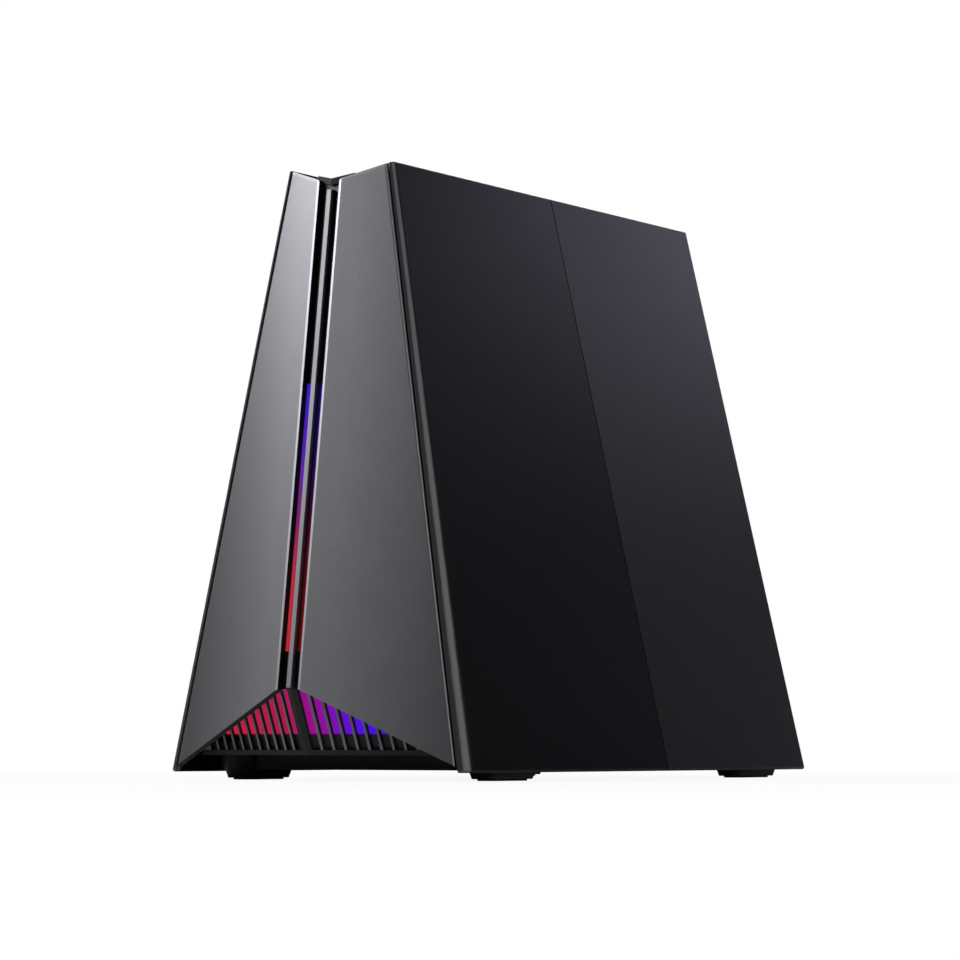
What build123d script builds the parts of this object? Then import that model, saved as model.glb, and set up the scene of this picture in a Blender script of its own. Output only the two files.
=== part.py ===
from build123d import *
import os
from functools import cache
from math import cos, radians, sin, tan

# A tower router in millimetres, standing on its feet at z = 0.
# +Y points to the rear, +X to the right of someone who faces the front.

# Body
body_depth = 230.0
base_width = 122.5
top_width = 43.3
corner_height = 205.0
rim_height = 2.8
front_setback = 13.6
rear_setback = 19.3
prow_angle = 18.34
roof_angle = 13.0
roof_fall_angle = 1.884
corner_radius_top = 2.2
corner_radius_rim = 5.0
wall = 2.2
rim_round = 0.9
crest_round = 0.6
fit_gap = 0.2

# Seam between the front and rear shells
seam_rim_y = 22.1
seam_lean = 14.9
seam_gap = 0.5
seam_lip_thickness = 1.4
seam_lip_reach = 4.0

# Front panels and the light slot between them
slot_width = 8.3
slot_bottom = 30.0
slot_top_drop = 5.3
panel_gap = 0.4
panel_bevel_width = 0.9
panel_bevel_depth = 0.3
panel_corner_radius = 1.2
panel_edge_round = 1.2
frame_thickness = 2.5
channel_depth = 2.8
channel_floor = 1.8
channel_wall = 1.6
fin_width = 1.7
fin_depth = 0.55
fin_bottom_gap = 0.4
fin_top_gap = 3.4
fin_edge_round = 0.3
light_bottom = 42.3
light_top = 131.2
guide_length = 3.8
guide_gap = 0.1
led_size = 3.0
led_height = 1.5
led_gap = 0.2
led_pitch = 10.0
board_thickness = 1.6
strip_board_margin = 4.0

# Lower grille
grille_depth = 2.1
grille_prow_angle = 12.0
grille_undercut_angle = 22.85
grille_bottom = 8.4
grille_half_width = 52.0
grille_rim = 0.6
grille_tuck = 6.0
slat_bottom = 10.15
slat_depth = 1.4
slat_width = 0.9
slat_pitch = 4.17
ridge_width = 4.0
light_sill = 15.4
sill_thickness = 1.2
diffuser_thickness = 2.0
grille_light_half_width = 42.0
grille_led_half_width = 26.0
grille_led_gap = 1.2
grille_board_thickness = 1.2

# Base tray and feet
floor_thickness = 2.5
floor_lift = 0.6
step_length = 40.4
step_height = 10.0
skirt_thickness = 2.5
foot_width = 11.0
foot_length = 25.0
foot_round = 4.0
foot_draft = 20.0
foot_side_inset = 10.95
front_foot_inset = 50.9
rear_foot_inset = 23.1
pad_margin = 1.8
pad_height = 1.4
pad_proud = 0.6
intake_slot_width = 3.0
intake_slot_length = 40.0
intake_slot_pitch = 8.0
intake_slot_side = 30.0
intake_margin = 20.0

# Top cover
cover_drop = 0.8
spine_half_width = 7.4
vent_slot_width = 2.6
vent_slot_pitch = 6.5
vent_slot_angle = 32.0
vent_valley_margin = 2.6
vent_edge_margin = 3.0
vent_end_margin = 12.0

# Rear bezel and port panel
port_recess = 25.0
panel_thickness = 2.2
bezel_wall = 2.0
bezel_setback = 0.6
ledge_thickness = 2.0
ledge_width = 3.0
rear_vent_height = 2.4
rear_vent_pitch = 6.0
rear_vent_inner = 16.0
rear_vent_margin = 6.0
rear_vent_shortest = 7.0

# Ports and buttons
port_gap = 0.3
column_end_gap = 3.5
jack_width = 15.9
jack_height = 13.4
jack_depth = 21.3
jack_setback = 0.5
socket_width = 11.8
socket_height = 7.2
socket_depth = 14.0
latch_width = 6.2
latch_height = 2.2
contact_count = 8
contact_pitch = 1.02
contact_width = 0.5
contact_height = 0.5
contact_length = 8.0
usb_width = 13.3
usb_height = 5.92
usb_depth = 17.0
usb_sheet = 0.4
usb_tongue_width = 11.1
usb_tongue_height = 1.84
usb_tongue_length = 9.0
usb_block_depth = 5.0
inlet_width = 10.0
inlet_height = 11.4
inlet_depth = 14.0
inlet_bore = 6.4
inlet_bore_depth = 10.0
inlet_pin_diameter = 2.0
inlet_pin_setback = 1.0
power_cap_diameter = 10.0
power_cap_proud = 2.0
power_travel = 2.0
power_switch_width = 8.5
power_switch_depth = 14.0
power_plunger_diameter = 3.4
small_cap_diameter = 8.0
small_cap_proud = 0.8
small_travel = 0.5
cap_length = 5.0
cap_flange = 1.0
cap_flange_thickness = 1.4
cap_edge_round = 0.5
cap_gap = 0.3
switch_width = 6.0
switch_depth = 6.0
plunger_diameter = 2.6
plunger_gap = 0.1
plunger_end_gap = 0.6
plunger_bore = 4.0
reset_hole_diameter = 2.2

# Boards, cooling and radio
board_front_gap = 45.0
board_floor_gap = 8.0
board_top_gap = 1.0
board_rear_gap = 1.0
carrier_thickness = 3.0
carrier_rail = 10.0
carrier_flange_thickness = 2.5
carrier_flange_half_width = 22.0
carrier_post_radius = 4.0
carrier_post_height = 9.0
carrier_post_inset = 5.0
sink_stack = 4.0
sink_plate = 3.0
sink_fin_height = 13.0
sink_fin_thickness = 1.4
sink_fin_pitch = 7.0
sink_margin = 4.0
sink_end_margin = 9.0
sink_bottom_gap = 26.0
sink_top_gap = 24.0
left_sink_stack = 1.0
left_sink_fin_height = 10.0
left_sink_inset = 4.0
sink_post_radius = 3.0
processor_size = 22.0
processor_height = 2.4
can_width = 26.0
can_height = 3.0
can_sheet = 0.4
can_spacing = 4.0
antenna_width = 12.0
antenna_length = 46.0
antenna_thickness = 0.8
antenna_tip_room = 6.0
antenna_front_y = -58.0
antenna_middle_y = -22.0
antenna_rear_y = 48.0
cable_diameter = 1.4
cable_shift = 9.0
cable_lead = 6.0
cable_bend = 3.0
ribbon_width = 8.0
ribbon_thickness = 0.3
ribbon_lap = 9.0
ribbon_lead = 6.0

# Screws
screw_radius = 1.5
screw_head_radius = 2.7
screw_head_height = 1.6
screw_hole_gap = 0.25
thread_gap = 0.02

# Slopes and places that follow from the sizes above
side_rise = corner_height - rim_height
side_slope = (base_width - top_width) / 2 / side_rise
front_slope = front_setback / side_rise
rear_slope = rear_setback / side_rise
seam_slope = seam_lean / side_rise
prow_slope = tan(radians(prow_angle))
roof_slope = tan(radians(roof_angle))
fall_slope = tan(radians(roof_fall_angle))
grille_prow_slope = tan(radians(grille_prow_angle))
undercut_slope = tan(radians(grille_undercut_angle))
corner_half_turn = radians(90 - prow_angle) / 2
reach = 4 * (body_depth + corner_height)
open_end = -body_depth / 5
slot_half = slot_width / 2
slot_top = corner_height - slot_top_drop
ridge_half = ridge_width / 2
floor_bottom = rim_height + floor_lift
floor_top = floor_bottom + floor_thickness
shelf_top = step_height + floor_thickness
front_tip_y = -body_depth / 2
rear_end_y = body_depth / 2
skirt_y = front_tip_y + step_length
port_face_y = rear_end_y - port_recess
port_back_y = port_face_y - panel_thickness
ledge_y = port_back_y - ledge_thickness
jack_face_y = port_face_y - jack_setback
board_face_x = -jack_height / 2
board_back_x = board_face_x - board_thickness
board_front_y = front_tip_y + board_front_gap
board_rear_y = ledge_y - board_rear_gap
board_bottom_z = floor_top + board_floor_gap


def half_width(z):
    return base_width / 2 - (z - rim_height) * side_slope


corner_rim_y = (front_tip_y + (half_width(slot_bottom) - slot_half) * prow_slope
                - (slot_bottom - rim_height) * front_slope)


def corner_y(z):
    return corner_rim_y + (z - rim_height) * front_slope


def front_y(x, z):
    return corner_y(z) - (half_width(z) - abs(x)) * prow_slope


def slot_y(z):
    return front_y(slot_half, z)


def rear_y(z):
    return rear_end_y - (z - rim_height) * rear_slope


def crest_z(y):
    return corner_height - (y - corner_y(corner_height)) * fall_slope


def roof_z(x, y):
    crest = crest_z(y)
    return crest - (half_width(crest) - abs(x)) * roof_slope


def corner_radius(z):
    share = (z - rim_height) / side_rise
    return corner_radius_rim + (corner_radius_top - corner_radius_rim) * share


def corner_tangent(z):
    return corner_radius(z) * tan(corner_half_turn)


def panel_edge_x(z):
    return half_width(z) - corner_tangent(z) * cos(radians(prow_angle))


def grille_y(x, z):
    set_back = grille_depth + (slot_bottom - z) * undercut_slope + abs(x) * grille_prow_slope
    return slot_y(slot_bottom) + set_back


def side_normal(sign):
    return Vector(sign, 0, side_slope).normalized()


def front_normal(sign):
    return Vector(sign * prow_slope, -1, front_slope + side_slope * prow_slope).normalized()


def roof_normal(sign):
    along = Vector(sign * side_slope * fall_slope, 1, -fall_slope)
    inward = Vector(-sign * cos(radians(roof_angle)), 0, -sin(radians(roof_angle)))
    return (along.cross(inward) * sign).normalized()


def grille_normal(sign):
    return Vector(sign * grille_prow_slope, -1, -undercut_slope).normalized()


# Building blocks
def half_space(point, outward):
    block = Box(reach, reach, reach, align=(Align.CENTER, Align.CENTER, Align.MAX))
    return Plane(origin=point, z_dir=outward) * block


def span(x0, x1, y0, y1, z0, z1):
    block = Box(x1 - x0, y1 - y0, z1 - z0, align=(Align.MIN, Align.MIN, Align.MIN))
    return Pos(x0, y0, z0) * block


def rod_y(x, z, y0, y1, radius):
    rod = Cylinder(radius, y1 - y0, align=(Align.CENTER, Align.CENTER, Align.MIN))
    return Plane(origin=(x, y0, z), z_dir=(0, 1, 0)) * rod


def rod_x(y, z, x0, x1, radius):
    rod = Cylinder(radius, x1 - x0, align=(Align.CENTER, Align.CENTER, Align.MIN))
    return Plane(origin=(x0, y, z), z_dir=(1, 0, 0)) * rod


def rod_z(x, y, z0, z1, radius):
    rod = Cylinder(radius, z1 - z0, align=(Align.CENTER, Align.CENTER, Align.MIN))
    return Pos(x, y, z0) * rod


def leaning_bar(x0, x1, depth0, depth1, z0, z1):
    outline = Wire.make_polygon([
        (x0, slot_y(z0) + depth0, z0),
        (x0, slot_y(z0) + depth1, z0),
        (x0, slot_y(z1) + depth1, z1),
        (x0, slot_y(z1) + depth0, z1),
    ])
    return extrude(Face(outline), amount=x1 - x0, dir=(1, 0, 0))


@cache
def envelope(side=0.0, front=0.0, rear=0.0, roof=0.0, bottom=rim_height):
    space = half_space((0, 0, bottom), (0, 0, -1))
    rear_normal = Vector(0, 1, rear_slope).normalized()
    space = space & half_space(Vector(0, rear_end_y, rim_height) - rear_normal * rear, rear_normal)
    for sign in (1, -1):
        rim_corner = Vector(sign * base_width / 2, corner_rim_y, rim_height)
        space = space & half_space(rim_corner - side_normal(sign) * side, side_normal(sign))
        space = space & half_space(rim_corner - front_normal(sign) * front, front_normal(sign))
    above = []
    for sign in (1, -1):
        top_corner = Vector(sign * top_width / 2, corner_y(corner_height), corner_height)
        above.append(half_space(top_corner - roof_normal(sign) * roof, roof_normal(sign) * -1))
    return space - (above[0] & above[1])


@cache
def under_panels(clearance):
    space = half_space((0, 0, slot_bottom - clearance), (0, 0, 1))
    for sign in (1, -1):
        inner_end = Vector(sign * slot_half, slot_y(slot_bottom), slot_bottom)
        outer_end = Vector(sign * base_width / 2, corner_rim_y, rim_height)
        upward = (front_normal(sign).cross(outer_end - inner_end) * sign).normalized()
        space = space & half_space(inner_end - upward * clearance, upward)
    return space


@cache
def grille_room(clearance):
    behind_panels = envelope(side=wall, front=wall + clearance, rear=open_end, roof=open_end)
    return under_panels(clearance) + (behind_panels & under_panels(clearance - grille_tuck))


def grille_slab(sign, depth0, depth1):
    outward = grille_normal(sign)
    front = half_space((0, grille_y(0, slot_bottom) + depth0, slot_bottom), outward)
    back = half_space((0, grille_y(0, slot_bottom) + depth1, slot_bottom), outward * -1)
    return front & back & half_space((0, 0, 0), (-sign, 0, 0))


def corner_section(sign, z):
    turn = radians(prow_angle)
    tangent = corner_tangent(z)
    radius = corner_radius(z)
    margin = corner_radius_rim
    corner = Vector(sign * half_width(z), corner_y(z), z)
    panel_end = corner + Vector(-sign * cos(turn), -sin(turn), 0) * tangent
    side_end = corner + Vector(0, tangent, 0)
    front_out = Vector(sign * sin(turn), -cos(turn), 0)
    side_out = Vector(sign, 0, 0)
    middle = side_end - side_out * radius + (front_out + side_out).normalized() * radius
    edges = [
        ThreePointArc(side_end, middle, panel_end),
        Line(panel_end, panel_end + front_out * margin),
        Line(panel_end + front_out * margin, side_end + side_out * margin),
        Line(side_end + side_out * margin, side_end),
    ]
    return Face(Wire(edges))


def corner_cutter(sign):
    low = rim_height - corner_radius_rim
    high = corner_height + corner_radius_rim
    return loft([corner_section(sign, low), corner_section(sign, high)], ruled=True)


def panel_zone(sign):
    low = rim_height - corner_radius_rim
    high = corner_height + corner_radius_rim
    outline = [
        Vector(0, front_y(0, low), low),
        Vector(sign * panel_edge_x(low), front_y(panel_edge_x(low), low), low),
        Vector(sign * panel_edge_x(high), front_y(panel_edge_x(high), high), high),
        Vector(0, front_y(0, high), high),
    ]
    return extrude(Face(Wire.make_polygon(outline)), amount=wall, dir=front_normal(sign) * -1)


def side_name(sign):
    return "right" if sign > 0 else "left"


# Side shells
def side_wall(sign):
    outer = envelope() & half_space((0, 0, 0), (-sign, 0, 0))
    inner = envelope(side=wall, front=wall, rear=open_end, roof=open_end, bottom=open_end)
    return outer - inner - corner_cutter(sign) - panel_zone(sign)


def seam_lip(sign):
    lip = envelope(side=wall, front=wall, rear=wall, roof=2 * wall + fit_gap, bottom=floor_top + fit_gap)
    lip = lip - envelope(side=wall + seam_lip_thickness, front=open_end, rear=open_end, roof=open_end,
                         bottom=0)
    lip = lip & half_space((0, 0, 0), (-sign, 0, 0))
    lip = lip & half_space((0, seam_rim_y + seam_lip_reach, rim_height), (0, 1, seam_slope))
    return lip & half_space((0, seam_rim_y - seam_lip_reach, rim_height), (0, -1, -seam_slope))


def lies_on_crest(point):
    beside_wall = abs(abs(point.X) - half_width(point.Z)) < wall / 4
    return beside_wall and abs(point.Z - crest_z(point.Y)) < wall / 4


def rounded_edges(shell):
    rim = shell.edges().filter_by_position(Axis.Z, rim_height - fit_gap, rim_height + fit_gap)
    outer_rim = [e for e in rim if abs(e.center().X) > half_width(rim_height) - wall / 2]
    shell = fillet(outer_rim, rim_round)
    crest = shell.edges().filter_by(lambda e: lies_on_crest(e.center()))
    return fillet(crest, crest_round)


def front_shell(sign, whole_side):
    shell = whole_side & half_space((0, seam_rim_y - seam_gap / 2, rim_height), (0, 1, seam_slope))
    return rounded_edges(shell) + seam_lip(sign)


def rear_shell(whole_side):
    shell = whole_side & half_space((0, seam_rim_y + seam_gap / 2, rim_height), (0, -1, -seam_slope))
    return rounded_edges(shell)


# Silver front panels
def front_panel(sign):
    edge_slope = (panel_edge_x(corner_height) - panel_edge_x(rim_height)) / side_rise
    edge_rim_x = panel_edge_x(rim_height) - panel_gap
    top_slope = (corner_height - slot_top) / (half_width(corner_height) - slot_half)
    low_slope = (rim_height - slot_bottom) / (half_width(rim_height) - slot_half)

    def near_slot_top(edge):
        high = edge.center().Z > corner_height / 2
        return high and abs(edge.center().X) < slot_half + wall and edge.length < 2 * wall

    def edge_crossing(start, slope):
        x = edge_rim_x + edge_slope * (start - slope * slot_half - rim_height)
        x = x / (1 - edge_slope * slope)
        return x, start + (x - slot_half) * slope

    corners = [
        (slot_half, slot_bottom),
        edge_crossing(slot_bottom, low_slope),
        edge_crossing(slot_top, top_slope),
        (slot_half, slot_top),
    ]
    outline = [(sign * x, front_y(x, z), z) for x, z in corners]
    panel = extrude(Face(Wire.make_polygon(outline)), amount=wall, dir=front_normal(sign) * -1)
    panel = panel - leaning_bar(-slot_half, slot_half, open_end, channel_depth, rim_height, corner_height)
    panel = fillet(panel.edges().filter_by(near_slot_top), panel_corner_radius)
    face = panel.faces().sort_by(lambda f: f.normal_at().dot(front_normal(sign)))[-1]
    slot_edge = face.edges().sort_by(lambda e: abs(e.center().X))[0]
    panel = chamfer(slot_edge, panel_bevel_width, panel_bevel_depth, reference=face)
    face = panel.faces().sort_by(lambda f: f.normal_at().dot(front_normal(sign)))[-1]
    outer_edge = face.edges().sort_by(lambda e: abs(e.center().X))[-1]
    return fillet(outer_edge, panel_edge_round)


# Front frame with the channel of the light slot
strip_z0 = light_bottom - strip_board_margin
strip_z1 = light_top + strip_board_margin
guide_back = channel_depth + guide_length
strip_led_depth = guide_back + led_gap
strip_board_depth = strip_led_depth + led_height
strip_half = slot_half + channel_wall
fin_half = fin_width / 2


def front_frame():
    layer = envelope(side=wall + fit_gap, front=wall, rear=open_end, roof=wall, bottom=floor_top)
    core = envelope(side=open_end, front=wall + frame_thickness, rear=open_end, roof=open_end,
                    bottom=open_end)
    layer = layer - core - under_panels(-grille_tuck)
    box_back = channel_depth + channel_floor
    channel = leaning_bar(-strip_half, strip_half, 0, box_back, slot_bottom, slot_top)
    channel = channel & envelope(side=wall, front=wall, rear=open_end, roof=wall, bottom=slot_bottom)
    frame = layer + channel
    frame = frame - leaning_bar(-slot_half, slot_half, open_end, channel_depth, rim_height, corner_height)
    frame = frame - under_panels(0)
    for sign in (1, -1):
        inner, outer = sorted((sign * fin_half, sign * slot_half))
        frame = frame - leaning_bar(inner, outer, 0, 2 * box_back, light_bottom, light_top)
        rib_in, rib_out = sorted((sign * slot_half, sign * strip_half))
        frame = frame + leaning_bar(rib_in, rib_out, box_back, strip_board_depth, strip_z0, strip_z1)
    return frame


def center_fin():
    fin = leaning_bar(-fin_half, fin_half, fin_depth, channel_depth,
                      slot_bottom + fin_bottom_gap, slot_top - fin_top_gap)
    front = fin.faces().sort_by(Axis.Y)[0]
    return fillet(front.edges(), fin_edge_round)


def light_guide(sign):
    inner, outer = sorted((sign * (fin_half + guide_gap), sign * (slot_half - guide_gap)))
    return leaning_bar(inner, outer, channel_depth, guide_back,
                       light_bottom + guide_gap, light_top - guide_gap)


def light_strip_board():
    return leaning_bar(-strip_half, strip_half, strip_board_depth, strip_board_depth + board_thickness,
                       strip_z0, strip_z1)


def light_strip_leds():
    leds = []
    count = int((light_top - light_bottom) / led_pitch)
    first = (light_bottom + light_top - (count - 1) * led_pitch) / 2
    for sign in (1, -1):
        middle = sign * (fin_half + slot_half) / 2
        for index in range(count):
            z = first + index * led_pitch
            leds.append(leaning_bar(middle - led_size / 2, middle + led_size / 2,
                                    strip_led_depth, strip_board_depth,
                                    z - led_size / 2, z + led_size / 2))
    return leds


# Lower grille and its lights
def lower_grille():
    below = grille_room(fit_gap)
    open_below = grille_room(fit_gap + grille_rim)
    deep = body_depth / 2
    grille = None
    for sign in (1, -1):
        facet = grille_slab(sign, 0, slat_depth) & below
        facet = facet & span(-grille_half_width, grille_half_width, -deep, deep, grille_bottom, slot_bottom)
        windows = []
        edge = ridge_half
        while edge + slat_pitch < grille_half_width:
            far_edge = edge + slat_pitch - slat_width
            x0, x1 = sorted((sign * edge, sign * far_edge))
            windows.append(span(x0, x1, -deep, deep, slat_bottom, slot_bottom))
            edge = edge + slat_pitch
        facet = facet - (Compound(windows) & open_below)
        grille = facet if grille is None else grille + facet
    return grille


sill_back = slat_depth + sill_thickness
diffuser_back = slat_depth + diffuser_thickness
grille_led_depth = diffuser_back + grille_led_gap
grille_board_depth = grille_led_depth + led_height


def behind_grille(sign, depth0, depth1, low, high, half):
    slab = grille_slab(sign, depth0, depth1)
    x0, x1 = sorted((sign * ridge_half, sign * half))
    slab = slab & span(x0, x1, -body_depth / 2, body_depth / 2, low, high)
    return slab & grille_room(fit_gap)


def grille_diffuser(sign):
    return behind_grille(sign, slat_depth, diffuser_back, light_sill, slot_bottom, grille_light_half_width)


def grille_board(sign):
    depth1 = grille_board_depth + grille_board_thickness
    return behind_grille(sign, grille_board_depth, depth1, shelf_top, slot_bottom, grille_light_half_width)


def grille_leds():
    leds = []
    z0 = shelf_top + led_size / 2
    for sign in (1, -1):
        x = ridge_half + led_size
        while x + led_size < grille_led_half_width:
            x0, x1 = sorted((sign * x, sign * (x + led_size)))
            block = span(x0, x1, -body_depth / 2, body_depth / 2, z0, z0 + led_size)
            leds.append(grille_slab(sign, grille_led_depth, grille_board_depth) & block)
            x = x + led_pitch
    return leds


# Base tray and feet
screw_x = carrier_flange_half_width - carrier_post_inset
screw_ys = (board_front_y + carrier_post_inset, board_rear_y - carrier_post_inset)
head_seat = floor_bottom + screw_head_height
foot_x = base_width / 2 - foot_side_inset
front_foot_y = front_tip_y + front_foot_inset
rear_foot_y = rear_end_y - rear_foot_inset


def foot_boss(sign, y, top):
    growth = 2 * (top - pad_proud) * tan(radians(foot_draft))
    foot = RectangleRounded(foot_width, foot_length, foot_round)
    crown = RectangleRounded(foot_width + growth, foot_length + growth, foot_round + growth / 2)
    return loft([Pos(sign * foot_x, y, pad_proud) * foot, Pos(sign * foot_x, y, top) * crown])


def foot_pad(sign, y, height, grow=0.0):
    inset = pad_margin - grow
    outline = RectangleRounded(foot_width - 2 * inset, foot_length - 2 * inset, foot_round - inset)
    return Pos(sign * foot_x, y, 0) * extrude(outline, height)


def foot_places():
    return [(sign, y) for sign in (1, -1) for y in (front_foot_y, rear_foot_y)]


def intake_slots():
    slots = []
    y = skirt_y + intake_margin
    while y < port_face_y - intake_margin:
        for sign in (1, -1):
            slot = SlotOverall(intake_slot_length, intake_slot_width)
            slots.append(Pos(sign * intake_slot_side, y, floor_bottom) * extrude(slot, floor_thickness))
        y = y + intake_slot_pitch
    return slots


def base_tray():
    deep = body_depth / 2
    wide = base_width / 2
    inside = envelope(side=wall + fit_gap, front=wall + frame_thickness + fit_gap, rear=bezel_setback,
                      roof=0, bottom=rim_height)
    floor = inside & span(-wide, wide, skirt_y, deep, floor_bottom, floor_top)
    skirt = inside & span(-wide, wide, skirt_y, skirt_y + skirt_thickness, floor_bottom, shelf_top)
    shelf = inside & span(-wide, wide, -deep, skirt_y + skirt_thickness, step_height, shelf_top)
    tray = floor + skirt
    for sign in (1, -1):
        half_shelf = shelf & grille_slab(sign, slat_depth, deep)
        sill = grille_slab(sign, slat_depth, sill_back) & under_panels(fit_gap)
        tray = tray + half_shelf
        sill = sill & span(-grille_half_width, grille_half_width, -deep, deep, step_height, light_sill)
        tray = tray + sill
    for sign, y in foot_places():
        top = shelf_top if y < 0 else floor_top
        room = envelope(side=wall + fit_gap, front=wall + frame_thickness + fit_gap, rear=bezel_setback,
                        roof=0, bottom=0)
        tray = tray + (foot_boss(sign, y, top) & room)
        tray = tray - foot_pad(sign, y, pad_height, grow=guide_gap)
    holes = intake_slots()
    for sign in (1, -1):
        for y in screw_ys:
            holes.append(rod_z(sign * screw_x, y, floor_bottom, floor_top, screw_radius + screw_hole_gap))
            holes.append(rod_z(sign * screw_x, y, floor_bottom, head_seat, screw_head_radius + screw_hole_gap))
    return tray - holes


def rubber_feet():
    return [foot_pad(sign, y, pad_height) for sign, y in foot_places()]


# Vented top cover
def top_vent_cover():
    cover = envelope(side=wall + fit_gap, front=wall + panel_gap, rear=bezel_setback, roof=cover_drop,
                     bottom=corner_height / 2)
    spine = envelope(side=wall + fit_gap, front=wall + panel_gap, rear=bezel_setback, roof=0,
                     bottom=corner_height / 2)
    deep = body_depth / 2
    spine = spine & span(-spine_half_width, spine_half_width, -deep, deep, 0, corner_height)
    under = envelope(side=open_end, front=open_end, rear=open_end, roof=wall, bottom=0)
    slots = []
    y = corner_y(corner_height) + vent_end_margin
    last = rear_y(crest_z(rear_end_y)) - vent_end_margin
    while y < last:
        inner_half = half_width(crest_z(y)) - wall - fit_gap
        length = inner_half - vent_valley_margin - vent_edge_margin
        for sign in (1, -1):
            slot = SlotOverall(length / cos(radians(vent_slot_angle)), vent_slot_width)
            middle = sign * (vent_valley_margin + length / 2)
            cutter = extrude(Rot(0, 0, sign * vent_slot_angle) * slot, corner_height)
            slots.append(Pos(middle, y, corner_height / 2) * cutter)
        y = y + vent_slot_pitch
    return cover + spine - under - slots


# Rear bezel, port panel and the column of ports
bezel_side = wall + fit_gap
opening_side = bezel_side + bezel_wall
column_low = floor_top + bezel_wall + ledge_width + column_end_gap
roof_build_up = (wall + bezel_wall + ledge_width) / cos(radians(roof_angle))
column_high = roof_z(0, port_face_y) - roof_build_up - column_end_gap


def rear_bezel():
    deep = body_depth / 2
    wide = base_width / 2
    outer = envelope(side=bezel_side, front=0, rear=bezel_setback, roof=wall, bottom=floor_top)
    opening = envelope(side=opening_side, front=open_end, rear=open_end, roof=wall + bezel_wall,
                       bottom=floor_top + bezel_wall)
    mouth = envelope(side=opening_side + ledge_width, front=open_end, rear=open_end,
                     roof=wall + bezel_wall + ledge_width, bottom=floor_top + bezel_wall + ledge_width)
    ring = (outer - opening) & span(-wide, wide, port_back_y, deep, 0, corner_height)
    ledge = (outer - mouth) & span(-wide, wide, ledge_y, port_back_y, 0, corner_height)
    return ring + ledge


port_rooms = {
    "dc_inlet": inlet_width,
    "power_button": power_cap_diameter,
    "wan_jack": jack_width,
    "lan_jack_1": jack_width,
    "lan_jack_2": jack_width,
    "lan_jack_3": jack_width,
    "lan_jack_4": jack_width,
    "usb_shell": usb_width,
    "reset": switch_width,
    "light_button": small_cap_diameter,
    "wps_button": small_cap_diameter,
}


def column_places():
    spare = column_high - column_low - sum(port_rooms.values())
    step = spare / (len(port_rooms) - 1)
    places = {}
    z = column_low
    for name, room in port_rooms.items():
        places[name] = z + room / 2
        z = z + room + step
    return places


port_z = column_places()
jack_names = [name for name in port_rooms if "_jack" in name]


def panel_window(name, width, height, middle_x=0.0):
    z = port_z[name]
    return span(middle_x - height / 2 - port_gap, middle_x + height / 2 + port_gap, ledge_y, rear_end_y,
                z - width / 2 - port_gap, z + width / 2 + port_gap)


inlet_x = board_face_x + inlet_height / 2


def rear_vents():
    vents = []
    z = column_low
    while z < column_high:
        length = half_width(z) - opening_side - rear_vent_margin - rear_vent_inner
        if length > rear_vent_shortest:
            for sign in (1, -1):
                middle = sign * (rear_vent_inner + length / 2)
                slot = Plane(origin=(middle, port_back_y, z), x_dir=(1, 0, 0), z_dir=(0, 1, 0))
                vents.append(slot * extrude(SlotOverall(length, rear_vent_height), panel_thickness))
        z = z + rear_vent_pitch
    return vents


def rear_port_panel():
    wide = base_width / 2
    gap = opening_side + fit_gap
    plate = envelope(side=gap, front=0, rear=open_end, roof=wall + bezel_wall + fit_gap,
                     bottom=floor_top + bezel_wall + fit_gap)
    plate = plate & span(-wide, wide, port_back_y, port_face_y, 0, corner_height)
    holes = rear_vents()
    for name in jack_names:
        holes.append(panel_window(name, jack_width, jack_height))
    holes.append(panel_window("usb_shell", usb_width, usb_height))
    holes.append(panel_window("dc_inlet", inlet_width, inlet_height, inlet_x))
    caps = {
        "power_button": power_cap_diameter,
        "light_button": small_cap_diameter,
        "wps_button": small_cap_diameter,
    }
    for name, diameter in caps.items():
        holes.append(rod_y(0, port_z[name], ledge_y, rear_end_y, diameter / 2 + cap_gap))
    holes.append(rod_y(0, port_z["reset"], ledge_y, rear_end_y, reset_hole_diameter / 2))
    return plate - holes


# Network jacks
socket_back_y = jack_face_y - socket_depth


def network_jack(name):
    z = port_z[name]
    body = span(board_face_x, board_face_x + jack_height, jack_face_y - jack_depth, jack_face_y,
                z - jack_width / 2, z + jack_width / 2)
    socket = span(-socket_height / 2, socket_height / 2, socket_back_y, jack_face_y,
                  z - socket_width / 2, z + socket_width / 2)
    latch = span(-socket_height / 2 - latch_height, 0, socket_back_y, jack_face_y,
                 z - latch_width / 2, z + latch_width / 2)
    return body - socket - latch


def jack_contacts():
    contacts = []
    for name in jack_names:
        for index in range(contact_count):
            z = port_z[name] + (index - (contact_count - 1) / 2) * contact_pitch
            contacts.append(span(socket_height / 2 - contact_height, socket_height / 2,
                                 socket_back_y, socket_back_y + contact_length,
                                 z - contact_width / 2, z + contact_width / 2))
    return contacts


# USB socket
usb_back_y = jack_face_y - usb_depth


def usb_shell():
    z = port_z["usb_shell"]
    outer = span(-usb_height / 2, usb_height / 2, usb_back_y, jack_face_y,
                 z - usb_width / 2, z + usb_width / 2)
    inner = span(-usb_height / 2 + usb_sheet, usb_height / 2 - usb_sheet, usb_back_y + usb_sheet, jack_face_y,
                 z - usb_width / 2 + usb_sheet, z + usb_width / 2 - usb_sheet)
    return outer - inner


def usb_insulator():
    z = port_z["usb_shell"]
    block_front = usb_back_y + usb_sheet + usb_block_depth
    block = span(-usb_height / 2 + usb_sheet, usb_height / 2 - usb_sheet, usb_back_y + usb_sheet, block_front,
                 z - usb_tongue_width / 2, z + usb_tongue_width / 2)
    tongue = span(0, usb_tongue_height, block_front, block_front + usb_tongue_length,
                  z - usb_tongue_width / 2, z + usb_tongue_width / 2)
    return block + tongue


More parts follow.
